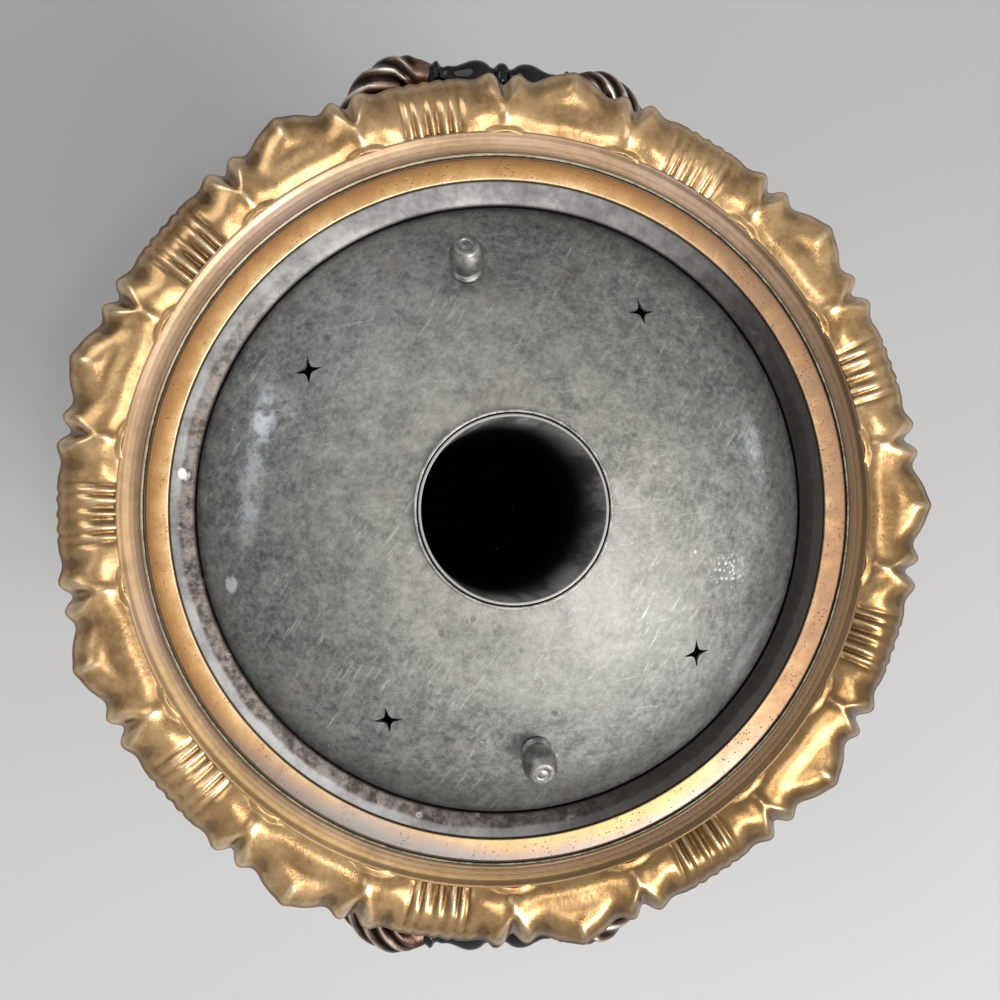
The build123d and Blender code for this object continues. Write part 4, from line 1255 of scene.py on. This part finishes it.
def body_radius(height):
    points = [(r, ring_level + z) for r, z in body_outline]
    for (r1, z1), (r2, z2) in zip(points, points[1:]):
        if z2 <= height <= z1:
            return r2 + (r1 - r2) * (height - z2) / (z1 - z2)
    return points[-1][0]


def make_arms():
    for side in handle_angles:
        place = handle_place(side)
        for end in (1, -1):
            horn, relief = sweep_arm(side, end)
            foot = arm_path(side)[-1]
            spot = place @ Vector((end * foot[0], foot[1], foot[2]))
            outward = Vector((spot.x, spot.y, 0)).normalized()
            wall = body_radius(spot.z)
            seat = Matrix.Translation((outward.x * wall, outward.y * wall, spot.z))
            square = outward.to_track_quat("Z", "Y").to_matrix().to_4x4()
            pad = [(0, -1.5), (pad_radius, -2.5), (pad_radius, 1.2), (pad_radius - 1.5, 2.6)]
            pad += [(pad_radius - 4, 3.2), (pad_radius - 5.5, 5), (8, 6.4), (0, 6.8)]
            pad = placed(turned(pad, 72, closed=False), seat @ square)
            shape = joined(placed(horn, place), pad)
            front = (place @ Vector((end, 0, 0))).x > place.translation.x
            where = "front" if front else "rear"
            arm = linked(f"{side}_{where}_bracket", raw_mesh("arm", shape))
            set_attribute(arm, "relief", relief + [0.0] * (len(shape[0]) - len(relief)))
            tidied(arm.data, 50)
            dressed(arm, dark_bronze, "dark_bronze", "urn", f"{side}_handle_{where}_arm")


make_ruffle()
make_neck()
make_lid()
make_tube()
make_body()
make_grips()
make_arms()
for foot in ("front_right", "rear_right", "rear_left", "front_left"):
    refined(f"bun_{foot}", f"foot_{foot}", patinated_brass, "urn")
refined("waved_base", "foot_base", patinated_brass, "urn", sharp=50)
refined("pierced_stem", "foot_stem", patinated_brass, "urn")
refined("waist_bead", "waist_ring", patinated_brass, "urn")
refined("tap_flange", "tap_rosette", tap_brass, "urn")
refined("tap_spout", "tap_body", tap_brass, "urn")
refined("tap_cone", "tap_plug", tap_brass, "tap_plug_body")
refined("tap_handle", "tap_key", tap_brass, "tap_plug_body", bevel=0.8)
plain_nodes = {
    cast_grate: ("foot_plate", "grate"),
    tinned_sheet: ("lid_skirt", "tube_flange"),
    steel: ("lid_knob_nuts", "foot_screws", "handle_bolts", "right_handle_rod", "left_handle_rod"),
    tap_brass: ("tap_washer", "tap_nut", "tap_back_nut"),
}
for paint, nodes in plain_nodes.items():
    for node in nodes:
        covered(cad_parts[node], paint)


# Camera, light and floor


def add_camera():
    """Above the ring and a little towards the image's left, as in the photograph."""
    height = 0.45
    aim = Vector((-0.0022, 0, ring_level * MM))
    data = bpy.data.cameras.new("camera")
    camera = linked("camera", data)
    camera.location = (-0.1 * height, 0, aim.z + height)
    forward = (aim - camera.location).normalized()
    right = forward.cross(Vector((0, 1, 0))).normalized()
    up = right.cross(forward)
    camera.rotation_mode = "QUATERNION"
    camera.rotation_quaternion = Matrix((right, up, -forward)).transposed().to_quaternion()
    data.lens = 40.8
    data.sensor_width = 36
    data.shift_y = 0.0095
    data.clip_start = 0.01
    data.clip_end = 20
    bpy.context.scene.camera = camera


def add_lamp(name, place, aim, size, power, colour=(1, 1, 1)):
    data = bpy.data.lights.new(name, "AREA")
    data.shape = "DISK"
    data.size = size
    data.energy = power
    data.color = colour
    lamp = linked(name, data)
    lamp.location = place
    lamp.rotation_mode = "QUATERNION"
    lamp.rotation_quaternion = (Vector(aim) - Vector(place)).to_track_quat("-Z", "Y")


def add_light():
    """A soft key from the tap's side and the left handle, a small lamp beside it, a fill and a soft sky."""
    centre = (0, 0, 0.4)
    add_lamp("key", (0.95, -0.85, 1.75), centre, 0.8, 30, (1.0, 0.985, 0.96))
    add_lamp("spark", (0.3, -0.2, 1.9), centre, 0.1, 3.2, (1.0, 0.99, 0.97))
    add_lamp("fill", (-1.1, 0.9, 1.6), centre, 1.4, 9, (0.96, 0.98, 1.0))
    world = bpy.data.worlds.new("studio")
    world.use_nodes = True
    bpy.context.scene.world = world
    sky = Nodes(world.node_tree)
    direction = sky.node("ShaderNodeTexCoord", output="Generated")
    dot = {"operation": "DOT_PRODUCT"}
    slant = sky.node("ShaderNodeVectorMath", {0: direction, 1: (0.42, -0.5, 0.3)}, dot, output="Value")
    limits = {"From Min": -0.7, "From Max": 0.7, "To Min": 0.26, "To Max": 0.86}
    background = world.node_tree.nodes["Background"]
    background.inputs["Color"].default_value = (1, 1, 1, 1)
    sky.feed(background.inputs["Strength"], sky.node("ShaderNodeMapRange", {"Value": slant, **limits}))


def add_floor():
    far = 4000
    corners = [(-far, -far, 0), (far, -far, 0), (far, far, 0), (-far, far, 0)]
    floor = make_mesh("floor", (corners, [(0, 1, 2, 3)]))
    paint = Paint("floor", metallic=0.0)
    # Painted light: the floor is painted lighter towards the near side and darker towards the far side.
    near = paint.ease(0.35, -0.45, paint.y)
    body = paint.mix(near, (0.385, 0.385, 0.388), (0.5, 0.5, 0.501))
    floor.data.materials.append(paint.finish(body, 0.85))


add_camera()
add_light()
add_floor()
bpy.context.scene.view_settings.view_transform = "Standard"
